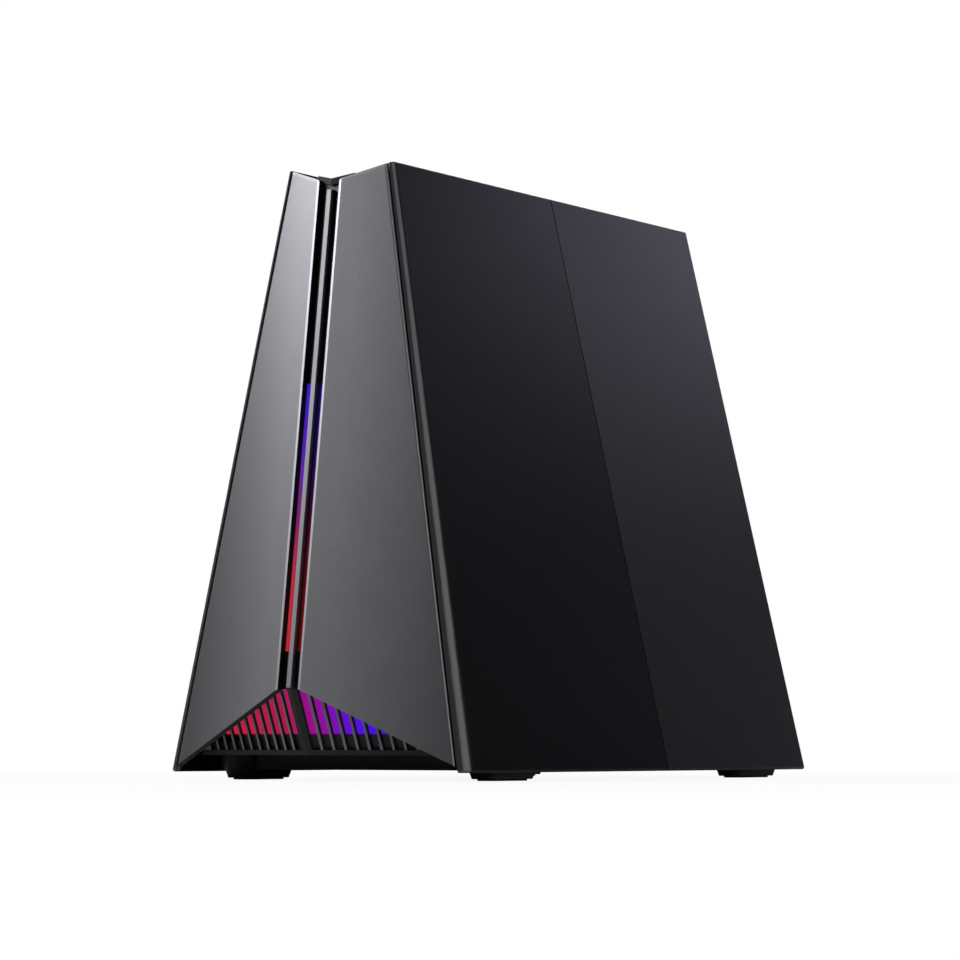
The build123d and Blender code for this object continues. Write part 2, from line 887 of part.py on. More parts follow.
def usb_riser():
    z = port_z["usb_shell"]
    return span(board_face_x, -usb_height / 2, usb_back_y, board_rear_y, z - usb_width / 2, z + usb_width / 2)


# Power inlet
def dc_inlet():
    z = port_z["dc_inlet"]
    body = span(board_face_x, board_face_x + inlet_height, jack_face_y - inlet_depth, jack_face_y,
                z - inlet_width / 2, z + inlet_width / 2)
    return body - rod_y(inlet_x, z, jack_face_y - inlet_bore_depth, jack_face_y, inlet_bore / 2)


def dc_inlet_pin():
    return rod_y(inlet_x, port_z["dc_inlet"], jack_face_y - inlet_bore_depth, jack_face_y - inlet_pin_setback,
                 inlet_pin_diameter / 2)


# Buttons and their switches
flange_rear_y = port_back_y - cap_gap
cap_seat_y = port_back_y - cap_length
switch_rear_y = cap_seat_y - small_travel - plunger_end_gap
power_rear_y = cap_seat_y - power_travel - plunger_end_gap


def button_cap(name, diameter, proud):
    z = port_z[name]
    stem = rod_y(0, z, cap_seat_y, port_face_y + proud, diameter / 2)
    end = stem.faces().sort_by(Axis.Y)[-1]
    stem = fillet(end.edges(), cap_edge_round)
    return stem + rod_y(0, z, flange_rear_y - cap_flange_thickness, flange_rear_y, diameter / 2 + cap_flange)


def switch_body(name, width, depth, rear, plunger, travel):
    z = port_z[name]
    body = span(board_face_x, width / 2, rear - depth, rear, z - width / 2, z + width / 2)
    return body - rod_y(0, z, rear - plunger_bore - travel - plunger_end_gap, rear, plunger / 2 + plunger_gap)


def switch_plunger(name, rear, plunger):
    return rod_y(0, port_z[name], rear - plunger_bore, cap_seat_y, plunger / 2)


# Main board and its carrier
board_top_z = column_high + board_top_gap
window_low_z = board_bottom_z + carrier_rail
window_high_z = board_top_z - carrier_rail
sink_low_z = board_bottom_z + sink_bottom_gap
sink_high_z = board_top_z - sink_top_gap
sink_front_y = board_front_y + carrier_rail + sink_margin
sink_rear_y = jack_face_y - jack_depth - sink_end_margin
sink_base_x = board_face_x + sink_stack
sink_top_x = sink_base_x + sink_plate
left_sink_x = board_back_x - left_sink_stack
left_sink_back_x = left_sink_x - sink_plate
board_screw_places = [
    (y, z)
    for y in (board_front_y + carrier_rail / 2, sink_rear_y)
    for z in (board_bottom_z + carrier_rail / 2, board_top_z - carrier_rail / 2)
]
sink_screw_places = [
    (y, z)
    for y in (sink_front_y + sink_end_margin, sink_rear_y - sink_end_margin)
    for z in (sink_low_z + sink_end_margin, sink_high_z - sink_end_margin)
]


def main_board():
    board = span(board_back_x, board_face_x, board_front_y, board_rear_y, board_bottom_z, board_top_z)
    for y, z in board_screw_places + sink_screw_places:
        board = board - rod_x(y, z, board_back_x, board_face_x, screw_radius + screw_hole_gap)
    return board


def board_carrier():
    back = board_back_x - carrier_thickness
    plate = span(back, board_back_x, board_front_y, board_rear_y, floor_top, board_top_z)
    window = span(back, board_back_x, board_front_y + carrier_rail, board_rear_y - carrier_rail,
                  window_low_z, window_high_z)
    flange = span(-carrier_flange_half_width, carrier_flange_half_width, board_front_y, board_rear_y,
                  floor_top, floor_top + carrier_flange_thickness)
    carrier = plate - window + flange
    for sign in (1, -1):
        for y in screw_ys:
            post_top = floor_top + carrier_post_height
            carrier = carrier + rod_z(sign * screw_x, y, floor_top, post_top, carrier_post_radius)
            carrier = carrier - rod_z(sign * screw_x, y, floor_top, post_top, screw_radius + thread_gap)
    for y, z in board_screw_places:
        carrier = carrier - rod_x(y, z, back, board_back_x, screw_radius + thread_gap)
    return carrier


# Chips, pads and heat sinks
def sink_middle():
    return (sink_front_y + sink_rear_y) / 2, (sink_low_z + sink_high_z) / 2


def can_places():
    y, z = sink_middle()
    step = can_width + can_spacing
    return [(y - step, z + can_width), (y, z + can_width), (y + step, z + can_width)]


def board_tile(y, z, size, x0, x1):
    return span(x0, x1, y - size / 2, y + size / 2, z - size / 2, z + size / 2)


def processor_place():
    y, z = sink_middle()
    return y, z - can_spacing - processor_size / 2


def processor_chip():
    y, z = processor_place()
    return board_tile(y, z, processor_size, board_face_x, board_face_x + processor_height)


def radio_shield_cans():
    cans = []
    for y, z in can_places():
        lid = board_face_x + can_height
        hollow = board_tile(y, z, can_width - 2 * can_sheet, board_face_x, lid - can_sheet)
        cans.append(board_tile(y, z, can_width, board_face_x, lid) - hollow)
    return cans


def right_thermal_pads():
    y, z = processor_place()
    pads = [board_tile(y, z, processor_size, board_face_x + processor_height, sink_base_x)]
    for y, z in can_places():
        pads.append(board_tile(y, z, can_width - can_spacing, board_face_x + can_height, sink_base_x))
    return pads


def left_thermal_pad():
    y, z = processor_place()
    return board_tile(y, z, can_width, left_sink_x, board_back_x)


def sink_fins(z0, z1, root_x, tip_x):
    x0, x1 = sorted((root_x, tip_x))
    bare_ends = 4 * sink_end_margin
    count = int((sink_rear_y - sink_front_y - bare_ends - sink_fin_thickness) / sink_fin_pitch)
    first = (sink_front_y + sink_rear_y - count * sink_fin_pitch - sink_fin_thickness) / 2
    fins = []
    for index in range(count + 1):
        y = first + index * sink_fin_pitch
        fins.append(span(x0, x1, y, y + sink_fin_thickness, z0, z1))
    return fins


def right_heat_sink():
    sink = span(sink_base_x, sink_top_x, sink_front_y, sink_rear_y, sink_low_z, sink_high_z)
    sink = sink + sink_fins(sink_low_z, sink_high_z, sink_top_x, sink_top_x + sink_fin_height)
    for y, z in sink_screw_places:
        sink = sink + rod_x(y, z, board_face_x, sink_base_x, sink_post_radius)
        sink = sink - rod_x(y, z, board_face_x, sink_top_x, screw_radius + screw_hole_gap)
    return sink


def left_heat_sink():
    low = sink_low_z + left_sink_inset
    high = sink_high_z - left_sink_inset
    sink = span(left_sink_back_x, left_sink_x, sink_front_y, sink_rear_y, low, high)
    sink = sink + sink_fins(low, high, left_sink_back_x, left_sink_back_x - left_sink_fin_height)
    for y, z in sink_screw_places:
        sink = sink + rod_x(y, z, left_sink_x, board_back_x, sink_post_radius)
        sink = sink - rod_x(y, z, left_sink_back_x, board_back_x, screw_radius + thread_gap)
    return sink


# Antennas and leads
cable_z = (sink_high_z + window_high_z) / 2
antenna_z = cable_z + antenna_tip_room - antenna_length / 2
antenna_ys = (antenna_front_y, antenna_middle_y, antenna_rear_y)


def wall_plane(sign, y, z, inset):
    point = Vector(sign * half_width(z), y, z) - side_normal(sign) * inset
    return Plane(origin=point, x_dir=(0, 1, 0), z_dir=side_normal(sign) * -1)


def antennas(sign):
    blank = Box(antenna_width, antenna_length, antenna_thickness,
                align=(Align.CENTER, Align.CENTER, Align.MIN))
    return [wall_plane(sign, y, antenna_z, wall) * blank for y in antenna_ys]


def antenna_cable(sign, y):
    face_x = board_face_x if sign > 0 else board_back_x
    start_x = sign * half_width(cable_z)
    lead = sign * cable_lead
    wall_x = sign * (half_width(cable_z) - wall - antenna_thickness)
    path = FilletPolyline(
        (start_x, y, cable_z),
        (wall_x - lead, y, cable_z),
        (face_x + lead, y + cable_shift, cable_z),
        (face_x, y + cable_shift, cable_z),
        radius=cable_bend,
    )
    profile = Plane(origin=(start_x, y, cable_z), z_dir=(-sign, 0, 0)) * Circle(cable_diameter / 2)
    cable = sweep(profile, path=path)
    antenna_face = wall_plane(sign, y, cable_z, wall + antenna_thickness)
    return cable & half_space(antenna_face.origin, side_normal(sign))


def antenna_cables():
    return [antenna_cable(sign, y) for sign in (1, -1) for y in antenna_ys]


def light_ribbon():
    z0 = board_bottom_z + ribbon_lead + light_bottom - floor_top
    z1 = z0 + ribbon_width
    start_y = slot_y(z0) + strip_board_depth
    along_x = board_face_x + ribbon_thickness / 2
    path = Polyline(
        (0, start_y),
        (0, start_y + board_thickness + 2 * ribbon_lead),
        (along_x, board_front_y - ribbon_lead),
        (along_x, board_front_y + ribbon_lap),
    )
    strip = Pos(0, 0, z0) * extrude(trace(path, ribbon_thickness), z1 - z0)
    board_back = (0, slot_y(z0) + strip_board_depth + board_thickness, z0)
    lean = (slot_y(z1) - slot_y(z0)) / ribbon_width
    return strip & half_space(board_back, (0, -1, lean))


# Screws
def base_screws():
    screws = []
    for sign in (1, -1):
        for y in screw_ys:
            x = sign * screw_x
            head = rod_z(x, y, floor_bottom, head_seat, screw_head_radius)
            shank = rod_z(x, y, head_seat, floor_top + carrier_post_height, screw_radius)
            screws.append(head + shank)
    return screws


def board_screws():
    screws = []
    for y, z in board_screw_places:
        head = rod_x(y, z, board_face_x, board_face_x + screw_head_height, screw_head_radius)
        shank = rod_x(y, z, board_back_x - carrier_thickness, board_face_x, screw_radius)
        screws.append(head + shank)
    return screws


def heat_sink_screws():
    screws = []
    for y, z in sink_screw_places:
        head = rod_x(y, z, sink_top_x, sink_top_x + screw_head_height, screw_head_radius)
        shank = rod_x(y, z, left_sink_back_x, sink_top_x, screw_radius)
        screws.append(head + shank)
    return screws


def all_nodes():
    nodes = {
        "base_tray": base_tray(),
        "rubber_feet": rubber_feet(),
        "top_vent_cover": top_vent_cover(),
        "rear_bezel": rear_bezel(),
        "rear_port_panel": rear_port_panel(),
        "front_frame": front_frame(),
        "center_fin": center_fin(),
        "lower_grille": lower_grille(),
        "light_strip_board": light_strip_board(),
        "light_strip_leds": light_strip_leds(),
        "grille_leds": grille_leds(),
        "main_board": main_board(),
        "board_carrier": board_carrier(),
        "processor_chip": processor_chip(),
        "radio_shield_cans": radio_shield_cans(),
        "right_thermal_pads": right_thermal_pads(),
        "left_thermal_pad": left_thermal_pad(),
        "right_heat_sink": right_heat_sink(),
        "left_heat_sink": left_heat_sink(),
        "jack_contacts": jack_contacts(),
        "usb_shell": usb_shell(),
        "usb_insulator": usb_insulator(),
        "usb_riser": usb_riser(),
        "dc_inlet": dc_inlet(),
        "dc_inlet_pin": dc_inlet_pin(),
        "antenna_cables": antenna_cables(),
        "light_ribbon": light_ribbon(),
        "base_screws": base_screws(),
        "board_screws": board_screws(),
        "heat_sink_screws": heat_sink_screws(),
    }
    for sign in (1, -1):
        side = side_name(sign)
        whole_side = side_wall(sign)
        nodes[side + "_front_shell"] = front_shell(sign, whole_side)
        nodes[side + "_rear_shell"] = rear_shell(whole_side)
        nodes[side + "_front_panel"] = front_panel(sign)
        nodes[side + "_light_guide"] = light_guide(sign)
        nodes[side + "_grille_diffuser"] = grille_diffuser(sign)
        nodes[side + "_grille_board"] = grille_board(sign)
        nodes[side + "_antennas"] = antennas(sign)
    for name in jack_names:
        nodes[name] = network_jack(name)
    nodes["power_button"] = button_cap("power_button", power_cap_diameter, power_cap_proud)
    nodes["power_switch_body"] = switch_body("power_button", power_switch_width, power_switch_depth,
                                             power_rear_y, power_plunger_diameter, power_travel)
    nodes["power_switch_plunger"] = switch_plunger("power_button", power_rear_y, power_plunger_diameter)
    small_switches = []
    for name in ("reset", "light_button", "wps_button"):
        small_switches.append(switch_body(name, switch_width, switch_depth, switch_rear_y, plunger_diameter,
                                          small_travel))
        plunger_name = name.split("_")[0] + "_switch_plunger"
        nodes[plunger_name] = switch_plunger(name, switch_rear_y, plunger_diameter)
    nodes["small_switch_bodies"] = small_switches
    for name in ("light_button", "wps_button"):
        nodes[name] = button_cap(name, small_cap_diameter, small_cap_proud)
    return nodes


os.makedirs("parts", exist_ok=True)
for node_name, shape in all_nodes().items():
    solids = shape if isinstance(shape, list) else [shape]
    export_step(Compound(solids), os.path.join("parts", node_name + ".step"))
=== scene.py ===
import logging
import math
from collections.abc import Iterator, Sequence
from contextlib import contextmanager
from dataclasses import dataclass
from enum import Enum
from functools import cache
from typing import ClassVar

import bmesh
import bpy
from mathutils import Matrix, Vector


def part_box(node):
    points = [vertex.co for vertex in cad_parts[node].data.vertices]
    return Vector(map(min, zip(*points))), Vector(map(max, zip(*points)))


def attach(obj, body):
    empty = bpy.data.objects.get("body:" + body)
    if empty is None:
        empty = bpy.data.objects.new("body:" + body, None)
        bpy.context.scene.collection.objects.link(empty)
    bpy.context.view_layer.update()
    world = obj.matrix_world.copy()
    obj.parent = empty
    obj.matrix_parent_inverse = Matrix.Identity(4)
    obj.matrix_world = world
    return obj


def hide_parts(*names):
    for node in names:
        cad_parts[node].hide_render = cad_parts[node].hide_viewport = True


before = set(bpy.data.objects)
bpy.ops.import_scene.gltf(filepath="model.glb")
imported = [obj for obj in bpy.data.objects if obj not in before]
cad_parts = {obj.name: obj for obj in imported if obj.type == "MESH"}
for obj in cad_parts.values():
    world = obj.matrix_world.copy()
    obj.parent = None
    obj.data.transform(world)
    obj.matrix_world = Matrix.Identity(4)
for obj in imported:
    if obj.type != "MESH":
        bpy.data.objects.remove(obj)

Tree = bpy.types.NodeTree
Node = bpy.types.Node
Socket = bpy.types.NodeSocket
Piece = bpy.types.Object
Pair = tuple[float, float]
Triple = tuple[float, float, float]
Colour = tuple[float, float, float, float]

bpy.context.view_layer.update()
MM = 0.001
LOG = logging.getLogger("tower_router")

AHEAD: Triple = (0.0, -1.0, 0.0)
REARWARD: Triple = (0.0, 1.0, 0.0)
RIGHT: Triple = (1.0, 0.0, 0.0)
UP: Triple = (0.0, 0.0, 1.0)
DOWN: Triple = (0.0, 0.0, -1.0)

WHITE = "#ffffff"
COOL_WHITE = "#e9e4ff"
TONE_DETAIL = 3.0
GRAIN_DETAIL = 2.0

# The cosine from which a face counts as looking along a direction
SAME_WAY = 0.99
# How far behind the outermost face another one still counts as outermost
LEVEL_MM = 0.01
WELD_MM = 0.002
SHARP_DEGREES = 40.0
SMOOTH_DEGREES = 35.0


class Body(str, Enum):
    """The bodies of the frame that pieces ride on."""

    HOUSING = "housing"
    POWER_KEY = "power_key"
    LIGHT_KEY = "light_key"
    WPS_KEY = "wps_key"


class Slot(str, Enum):
    """Names of material slots, which no piece in this script takes its finish from."""

    STEEL = "tinned_steel"
    SCREW = "screw_steel"
    GOLD = "gold_contact"
    LED = "led"
    PRINT = "silver_trim"
    SCREEN = "black_base"
    CHIP = "chip"


class Axis(int, Enum):
    """The axis that a lit colour runs along."""

    X = 0
    Z = 2


def linear(hex_code: str) -> Colour:
    """Turns an sRGB hex colour to linear light.

    Args:
        hex_code: A colour such as "#1b1b1e".

    Returns:
        Red, green and blue in linear light, and an alpha of one.
    """
    channels = [int(hex_code[start:start + 2], 16) / 255 for start in (1, 3, 5)]
    light = [c / 12.92 if c <= 0.04045 else ((c + 0.055) / 1.055) ** 2.4 for c in channels]
    return light[0], light[1], light[2], 1.0


def shade(hex_code: str, factor: float) -> Colour:
    """Brightens or darkens a colour in linear light.

    Args:
        hex_code: The sRGB hex colour.
        factor: What its light is multiplied by.

    Returns:
        The linear colour, no channel above one.
    """
    red, green, blue, alpha = linear(hex_code)
    return min(1.0, red * factor), min(1.0, green * factor), min(1.0, blue * factor), alpha


def add_node(tree: Tree, kind: str, inputs: dict | None = None, **settings) -> Node:
    """Adds a node with its settings, values and links.

    Args:
        tree: The node tree that gets the node.
        kind: Blender's name for the kind of node.
        inputs: A value, or the socket to link from, for each input by name or number.
        **settings: The node's own settings, with stops for the colours of a ramp.

    Returns:
        The new node.
    """
    made = tree.nodes.new(kind)
    for place, colour in settings.pop("stops", ()):
        colours = made.color_ramp.elements
        ends = {0.0: colours[0], 1.0: colours[-1]}
        stop = ends[place] if place in ends else colours.new(place)
        stop.color = colour
    for setting, value in settings.items():
        setattr(made, setting, value)
    for name, value in (inputs or {}).items():
        if isinstance(value, Socket):
            tree.links.new(value, made.inputs[name])
        else:
            made.inputs[name].default_value = value
    return made


def noise(tree: Tree, place: Socket, size_mm: float, detail: float) -> Socket:
    """Draws soft noise.

    Args:
        tree: The material's nodes.
        place: The coordinates that it is drawn in.
        size_mm: The size of its patches.
        detail: How many finer layers it has.

    Returns:
        The socket with the noise, from zero to one.
    """
    inputs = {"Vector": place, "Scale": 1 / (size_mm * MM), "Detail": detail}
    return add_node(tree, "ShaderNodeTexNoise", inputs).outputs["Fac"]


def ramp(tree: Tree, value: Socket, stops: Sequence[tuple[float, Colour]]) -> Socket:
    """Turns a value to a colour.

    Args:
        tree: The material's nodes.
        value: The socket with the value, from zero to one.
        stops: The values that have a colour of their own, and those colours.

    Returns:
        The socket with the colour.
    """
    return add_node(tree, "ShaderNodeValToRGB", {"Fac": value}, stops=stops).outputs["Color"]


def graded(tree: Tree, value: Socket, source: Pair = (0.0, 1.0), target: Pair = (0.0, 1.0)) -> Socket:
    """Stretches one range of a value to another and holds it at the ends.

    Args:
        tree: The material's nodes.
        value: The socket with the value.
        source: The two ends of its range.
        target: What the two ends become.

    Returns:
        The socket with the new value.
    """
    inputs = {
        "Value": value,
        "From Min": source[0],
        "From Max": source[1],
        "To Min": target[0],
        "To Max": target[1],
    }
    return add_node(tree, "ShaderNodeMapRange", inputs).outputs["Result"]


def beyond(tree: Tree, value: Socket, limit: float) -> Socket:
    """Tells where a value is above a limit.

    Args:
        tree: The material's nodes.
        value: The socket with the value.
        limit: The limit.

    Returns:
        A socket that is one above the limit and zero elsewhere.
    """
    return add_node(tree, "ShaderNodeMath", {0: value, 1: limit}, operation="GREATER_THAN").outputs["Value"]


def facing(tree: Tree, normal: Socket, way: Triple) -> Socket:
    """Tells how far a surface looks along a direction.

    Args:
        tree: The material's nodes.
        normal: The socket with the direction that the surface looks along.
        way: The direction that it is held against.

    Returns:
        A socket that is one where the two agree and zero where they are square to each other.
    """
    made = add_node(tree, "ShaderNodeVectorMath", {0: normal, 1: way}, operation="DOT_PRODUCT")
    return made.outputs["Value"]


def split(tree: Tree, place: Node) -> bpy.types.NodeOutputs:
    """Gives the sockets with a point's X, Y and Z."""
    return add_node(tree, "ShaderNodeSeparateXYZ", {"Vector": place.outputs["Object"]}).outputs


def aside(tree: Tree, place: Node) -> Socket:
    """Gives the socket with a point's distance from the middle plane."""
    made = add_node(tree, "ShaderNodeMath", {0: split(tree, place)["X"]}, operation="ABSOLUTE")
    return made.outputs["Value"]


def scaled(tree: Tree, colour: Socket, factor: Socket) -> Socket:
    """Gives the socket with a colour whose light is multiplied by a factor."""
    inputs = {0: colour, "Scale": factor}
    return add_node(tree, "ShaderNodeVectorMath", inputs, operation="SCALE").outputs["Vector"]


def mixed(tree: Tree, factor: Socket | float, plain: Socket, other: Socket | Colour | float,
          **settings) -> Socket:
    """Mixes two colours, or two numbers where the settings say so.

    Args:
        tree: The material's nodes.
        factor: The share of the second one.
        plain: The first one.
        other: The second one.
        **settings: The mixing node's own settings.

    Returns:
        The socket with the mix.
    """
    inputs = {"Factor": factor, "A": plain, "B": other}
    return add_node(tree, "ShaderNodeMix", inputs, **{"data_type": "RGBA", **settings}).outputs["Result"]


@dataclass(frozen=True)
class Finish:
    """A surface with tone patches, a fine grain and an uneven gloss.

    Sizes are in millimetres. A grain finer than about 0.35 mm is under one pixel of the main view, so grains
    are drawn at least that coarse. A stretch below one draws the grain out along that axis.
    """

    name: str
    colour: str
    roughness: float
    metallic: float = 0.0
    ior: float = 1.5
    tone_mm: float = 9.0
    tone_spread: float = 0.05
    grain_mm: float = 0.45
    grain_height_mm: float = 0.012
    gloss_spread: float = 0.05
    stretch: Triple = (1.0, 1.0, 1.0)

    @cache
    def material(self) -> bpy.types.Material:
        """Makes the finish as a node material, once.

        Returns:
            The material, ready for a piece's slot.
        """
        material = bpy.data.materials.new(self.name)
        material.use_nodes = True
        tree = material.node_tree
        shader = tree.nodes["Principled BSDF"]
        shader.inputs["Metallic"].default_value = self.metallic
        shader.inputs["IOR"].default_value = self.ior
        place = add_node(tree, "ShaderNodeTexCoord")
        drawn = add_node(tree, "ShaderNodeMapping", {
            "Vector": place.outputs["Object"],
            "Scale": self.stretch,
        }).outputs["Vector"]
        tree.links.new(self.tone(tree, place), shader.inputs["Base Color"])
        tree.links.new(self.gloss(tree, place, drawn), shader.inputs["Roughness"])
        tree.links.new(self.relief(tree, drawn), shader.inputs["Normal"])
        self.extra(tree, shader, place)
        return material

    def tone(self, tree: Tree, place: Node) -> Socket:
        """Gives the colour, which drifts a little in soft patches.

        Args:
            tree: The material's nodes.
            place: Its texture coordinates.

        Returns:
            The socket with the colour.
        """
        patches = noise(tree, place.outputs["Object"], self.tone_mm, TONE_DETAIL)
        return ramp(tree, patches, (
            (0.0, shade(self.colour, 1 - self.tone_spread)),
            (1.0, shade(self.colour, 1 + self.tone_spread)),
        ))

    def gloss(self, tree: Tree, place: Node, drawn: Socket) -> Socket:
        """Gives the roughness, uneven at twice the size of the grain.

        Args:
            tree: The material's nodes.
            place: Its texture coordinates, which this plain gloss does not use.
            drawn: The coordinates with the grain's stretch.

        Returns:
            The socket with the roughness.
        """
        fleck = noise(tree, drawn, 2 * self.grain_mm, GRAIN_DETAIL)
        ends = self.roughness - self.gloss_spread, self.roughness + self.gloss_spread
        return graded(tree, fleck, target=ends)

    def relief(self, tree: Tree, drawn: Socket) -> Socket:
        """Gives the fine relief of the surface.

        Args:
            tree: The material's nodes.
            drawn: The coordinates with the grain's stretch.

        Returns:
            The socket with the bent normal.
        """
        return add_node(tree, "ShaderNodeBump", {
            "Height": noise(tree, drawn, self.grain_mm, GRAIN_DETAIL),
            "Strength": 1.0,
            "Distance": self.grain_height_mm * MM,
        }).outputs["Normal"]

    def extra(self, tree: Tree, shader: Node, place: Node) -> None:
        """Adds what one kind of finish has beyond the rest, which is nothing here."""


@dataclass(frozen=True)
class PaintedFlankMetal(Finish):
    """Blasted metal with flanks that are painted black.

    The face looks along one direction, mirrored left and right, and what turns far away from it is a flank.
    Painted shade darkens the face towards its outer edges.
    """

    face: Triple = REARWARD
    face_share: float = 0.94
    flank_share: float = 0.75
    edge_colour: str = "#5c5c60"
    edge_turn: float = 0.6
    flank_colour: str = "#303033"
    flank_turn: float = 0.35
    flank_roughness: float = 0.5
    # Painted shade on the face: its tone is scaled from the inner share near the middle to the outer share
    # at the outer edges
    inner_mm: float = 12.0
    outer_mm: float = 52.0
    inner_light: float = 1.12
    outer_light: float = 0.58

    def turn(self, tree: Tree, place: Node) -> Socket:
        """Tells how far the surface turns away from the face.

        Args:
            tree: The material's nodes.
            place: Its texture coordinates.

        Returns:
            A socket that is one on the face and zero on a flank that is square to it.
        """
        turned = add_node(tree, "ShaderNodeVectorMath", {0: place.outputs["Normal"]}, operation="ABSOLUTE")
        return facing(tree, turned.outputs["Vector"], tuple(abs(c) for c in Vector(self.face).normalized()))

    def flank_mask(self, tree: Tree, place: Node) -> Socket:
        """Gives the socket that is one on the flanks and zero on the face."""
        return graded(tree, self.turn(tree, place), (self.face_share, self.flank_share))

    def drift(self, tree: Tree, place: Node) -> Socket:
        """Gives the tone of the face, with painted shade that darkens it towards the outer edges.

        Args:
            tree: The material's nodes.
            place: Its texture coordinates.

        Returns:
            The socket with the colour.
        """
        reach = self.inner_mm * MM, self.outer_mm * MM
        # Painted shade: the face gets darker towards its outer edges
        light = graded(tree, aside(tree, place), reach, (self.inner_light, self.outer_light))
        return scaled(tree, super().tone(tree, place), light)

    def tone(self, tree: Tree, place: Node) -> Socket:
        """Gives the blasted tone on the face and the paint's on the flanks.

        Args:
            tree: The material's nodes.
            place: Its texture coordinates.

        Returns:
            The socket with the colour.
        """
        flank = ramp(tree, self.turn(tree, place), (
            (0.0, linear(self.flank_colour)),
            (self.flank_turn, linear(self.flank_colour)),
            (self.edge_turn, linear(self.edge_colour)),
            (1.0, linear(self.edge_colour)),
        ))
        return mixed(tree, self.flank_mask(tree, place), self.drift(tree, place), flank)

    def gloss(self, tree: Tree, place: Node, drawn: Socket) -> Socket:
        """Gives the blasted gloss on the face and the paint's on the flanks.

        Args:
            tree: The material's nodes.
            place: Its texture coordinates.
            drawn: The coordinates with the grain's stretch.

        Returns:
            The socket with the roughness.
        """
        blasted = super().gloss(tree, place, drawn)
        return mixed(tree, self.flank_mask(tree, place), blasted, self.flank_roughness, data_type="FLOAT")


@dataclass(frozen=True)
class MouldedShell(Finish):
    """Moulded plastic with painted light that makes it paler towards its rear end."""

    # Painted light: the tone is scaled from the front share to the rear share between these places along y
    front_mm: float = -100.0
    rear_mm: float = 20.0
    front_light: float = 0.85
    rear_light: float = 1.5

    def tone(self, tree: Tree, place: Node) -> Socket:
        """Gives the plain tone, with painted light that makes it paler towards the rear.

        Args:
            tree: The material's nodes.
            place: Its texture coordinates.

        Returns:
            The socket with the colour.
        """
        reach = self.front_mm * MM, self.rear_mm * MM
        # Painted light: paler towards the rear
        light = graded(tree, split(tree, place)["Y"], reach, (self.front_light, self.rear_light))
        return scaled(tree, super().tone(tree, place), light)


@dataclass(frozen=True)
class RoundedShell(MouldedShell):
    """Moulded plastic whose rounded front corner has a satin band with a painted highlight beside the front
    panel, and painted light on the faces that look ahead.
    """

    # Painted light round the front corner: a pale highlight band, and a lighter tone on the faces that look
    # ahead
    band_colour: str = "#626265"
    brow_colour: str = "#2c2c2f"
    band_roughness: float = 0.5
    side_turn: float = 0.26
    band_from: float = 0.38
    band_to: float = 0.7
    brow_turn: float = 0.78

    def tone(self, tree: Tree, place: Node) -> Socket:
        """Gives the plain tone on the side, and round the corner the painted highlight of the band and the
        painted light of the faces that look ahead.

        Args:
            tree: The material's nodes.
            place: Its texture coordinates.

        Returns:
            The socket with the colour.
        """
        turn = facing(tree, place.outputs["Normal"], AHEAD)
        # Painted highlight on the band and painted light on the faces that look ahead
        corner = ramp(tree, turn, (
            (0.0, linear(self.band_colour)),
            (self.band_to, linear(self.band_colour)),
            (self.brow_turn, linear(self.brow_colour)),
            (1.0, linear(self.brow_colour)),
        ))
        rounded = graded(tree, turn, (self.side_turn, self.band_from))
        return mixed(tree, rounded, super().tone(tree, place), corner)

    def gloss(self, tree: Tree, place: Node, drawn: Socket) -> Socket:
        """Gives the plain gloss on the side and a satin one round the corner.

        Args:
            tree: The material's nodes.
            place: Its texture coordinates.
            drawn: The coordinates with the grain's stretch.

        Returns:
            The socket with the roughness.
        """
        rounded = graded(tree, facing(tree, place.outputs["Normal"], AHEAD), (0.0, self.side_turn))
        plain = super().gloss(tree, place, drawn)
        return mixed(tree, rounded, plain, self.band_roughness, data_type="FLOAT")


@dataclass(frozen=True)
class LitAcrylic(Finish):
    """Milky acrylic with light behind it, which leaves it at the front.

    The light's colour runs along one axis, and the light may dim towards the middle.
    """

    axis: Axis = Axis.Z
    low_mm: float = 0.0
    high_mm: float = 1.0
    strength: float = 1.0
    colours: tuple[tuple[float, str], ...] = ()
    dim_reach_mm: float = 1.0
    dimming: tuple[tuple[float, str], ...] = ()
    front_turn: float = 0.5

    def extra(self, tree: Tree, shader: Node, place: Node) -> None:
        """Adds the light that comes through.

        Args:
            tree: The material's nodes.
            shader: Its shader.
            place: Its texture coordinates.
        """
        along = graded(tree, split(tree, place)[self.axis], (self.low_mm * MM, self.high_mm * MM))
        light = ramp(tree, along, [(share, linear(code)) for share, code in self.colours])
        if self.dimming:
            reach = graded(tree, aside(tree, place), (0.0, self.dim_reach_mm * MM))
            dim = ramp(tree, reach, [(share, linear(code)) for share, code in self.dimming])
            light = mixed(tree, 1.0, light, dim, blend_type="MULTIPLY")
        front = beyond(tree, facing(tree, place.outputs["Normal"], AHEAD), self.front_turn)
        tree.links.new(scaled(tree, light, front), shader.inputs["Emission Color"])
        shader.inputs["Emission Strength"].default_value = self.strength


@dataclass(frozen=True)
class SlattedPlastic(Finish):
    """Moulded plastic with slats beside a ridge, whose front edges are sprayed a paler grey."""

    slat_colour: str = "#7e7e82"
    front: Triple = (0.0, -0.92, -0.39)
    front_turn: float = 0.8
    ridge_mm: float = 2.0
    rim_mm: float = 10.2

    def tone(self, tree: Tree, place: Node) -> Socket:
        """Gives the paler tone on the slats' front edges and the plain tone elsewhere.

        Args:
            tree: The material's nodes.
            place: Its texture coordinates.

        Returns:
            The socket with the colour.
        """
        edges = beyond(tree, aside(tree, place), self.ridge_mm * MM)
        above = beyond(tree, split(tree, place)["Z"], self.rim_mm * MM)
        ahead = beyond(tree, facing(tree, place.outputs["Normal"], self.front), self.front_turn)
        for test in (above, ahead):
            both = add_node(tree, "ShaderNodeMath", {0: edges, 1: test}, operation="MULTIPLY")
            edges = both.outputs["Value"]
        return mixed(tree, edges, super().tone(tree, place), linear(self.slat_colour))


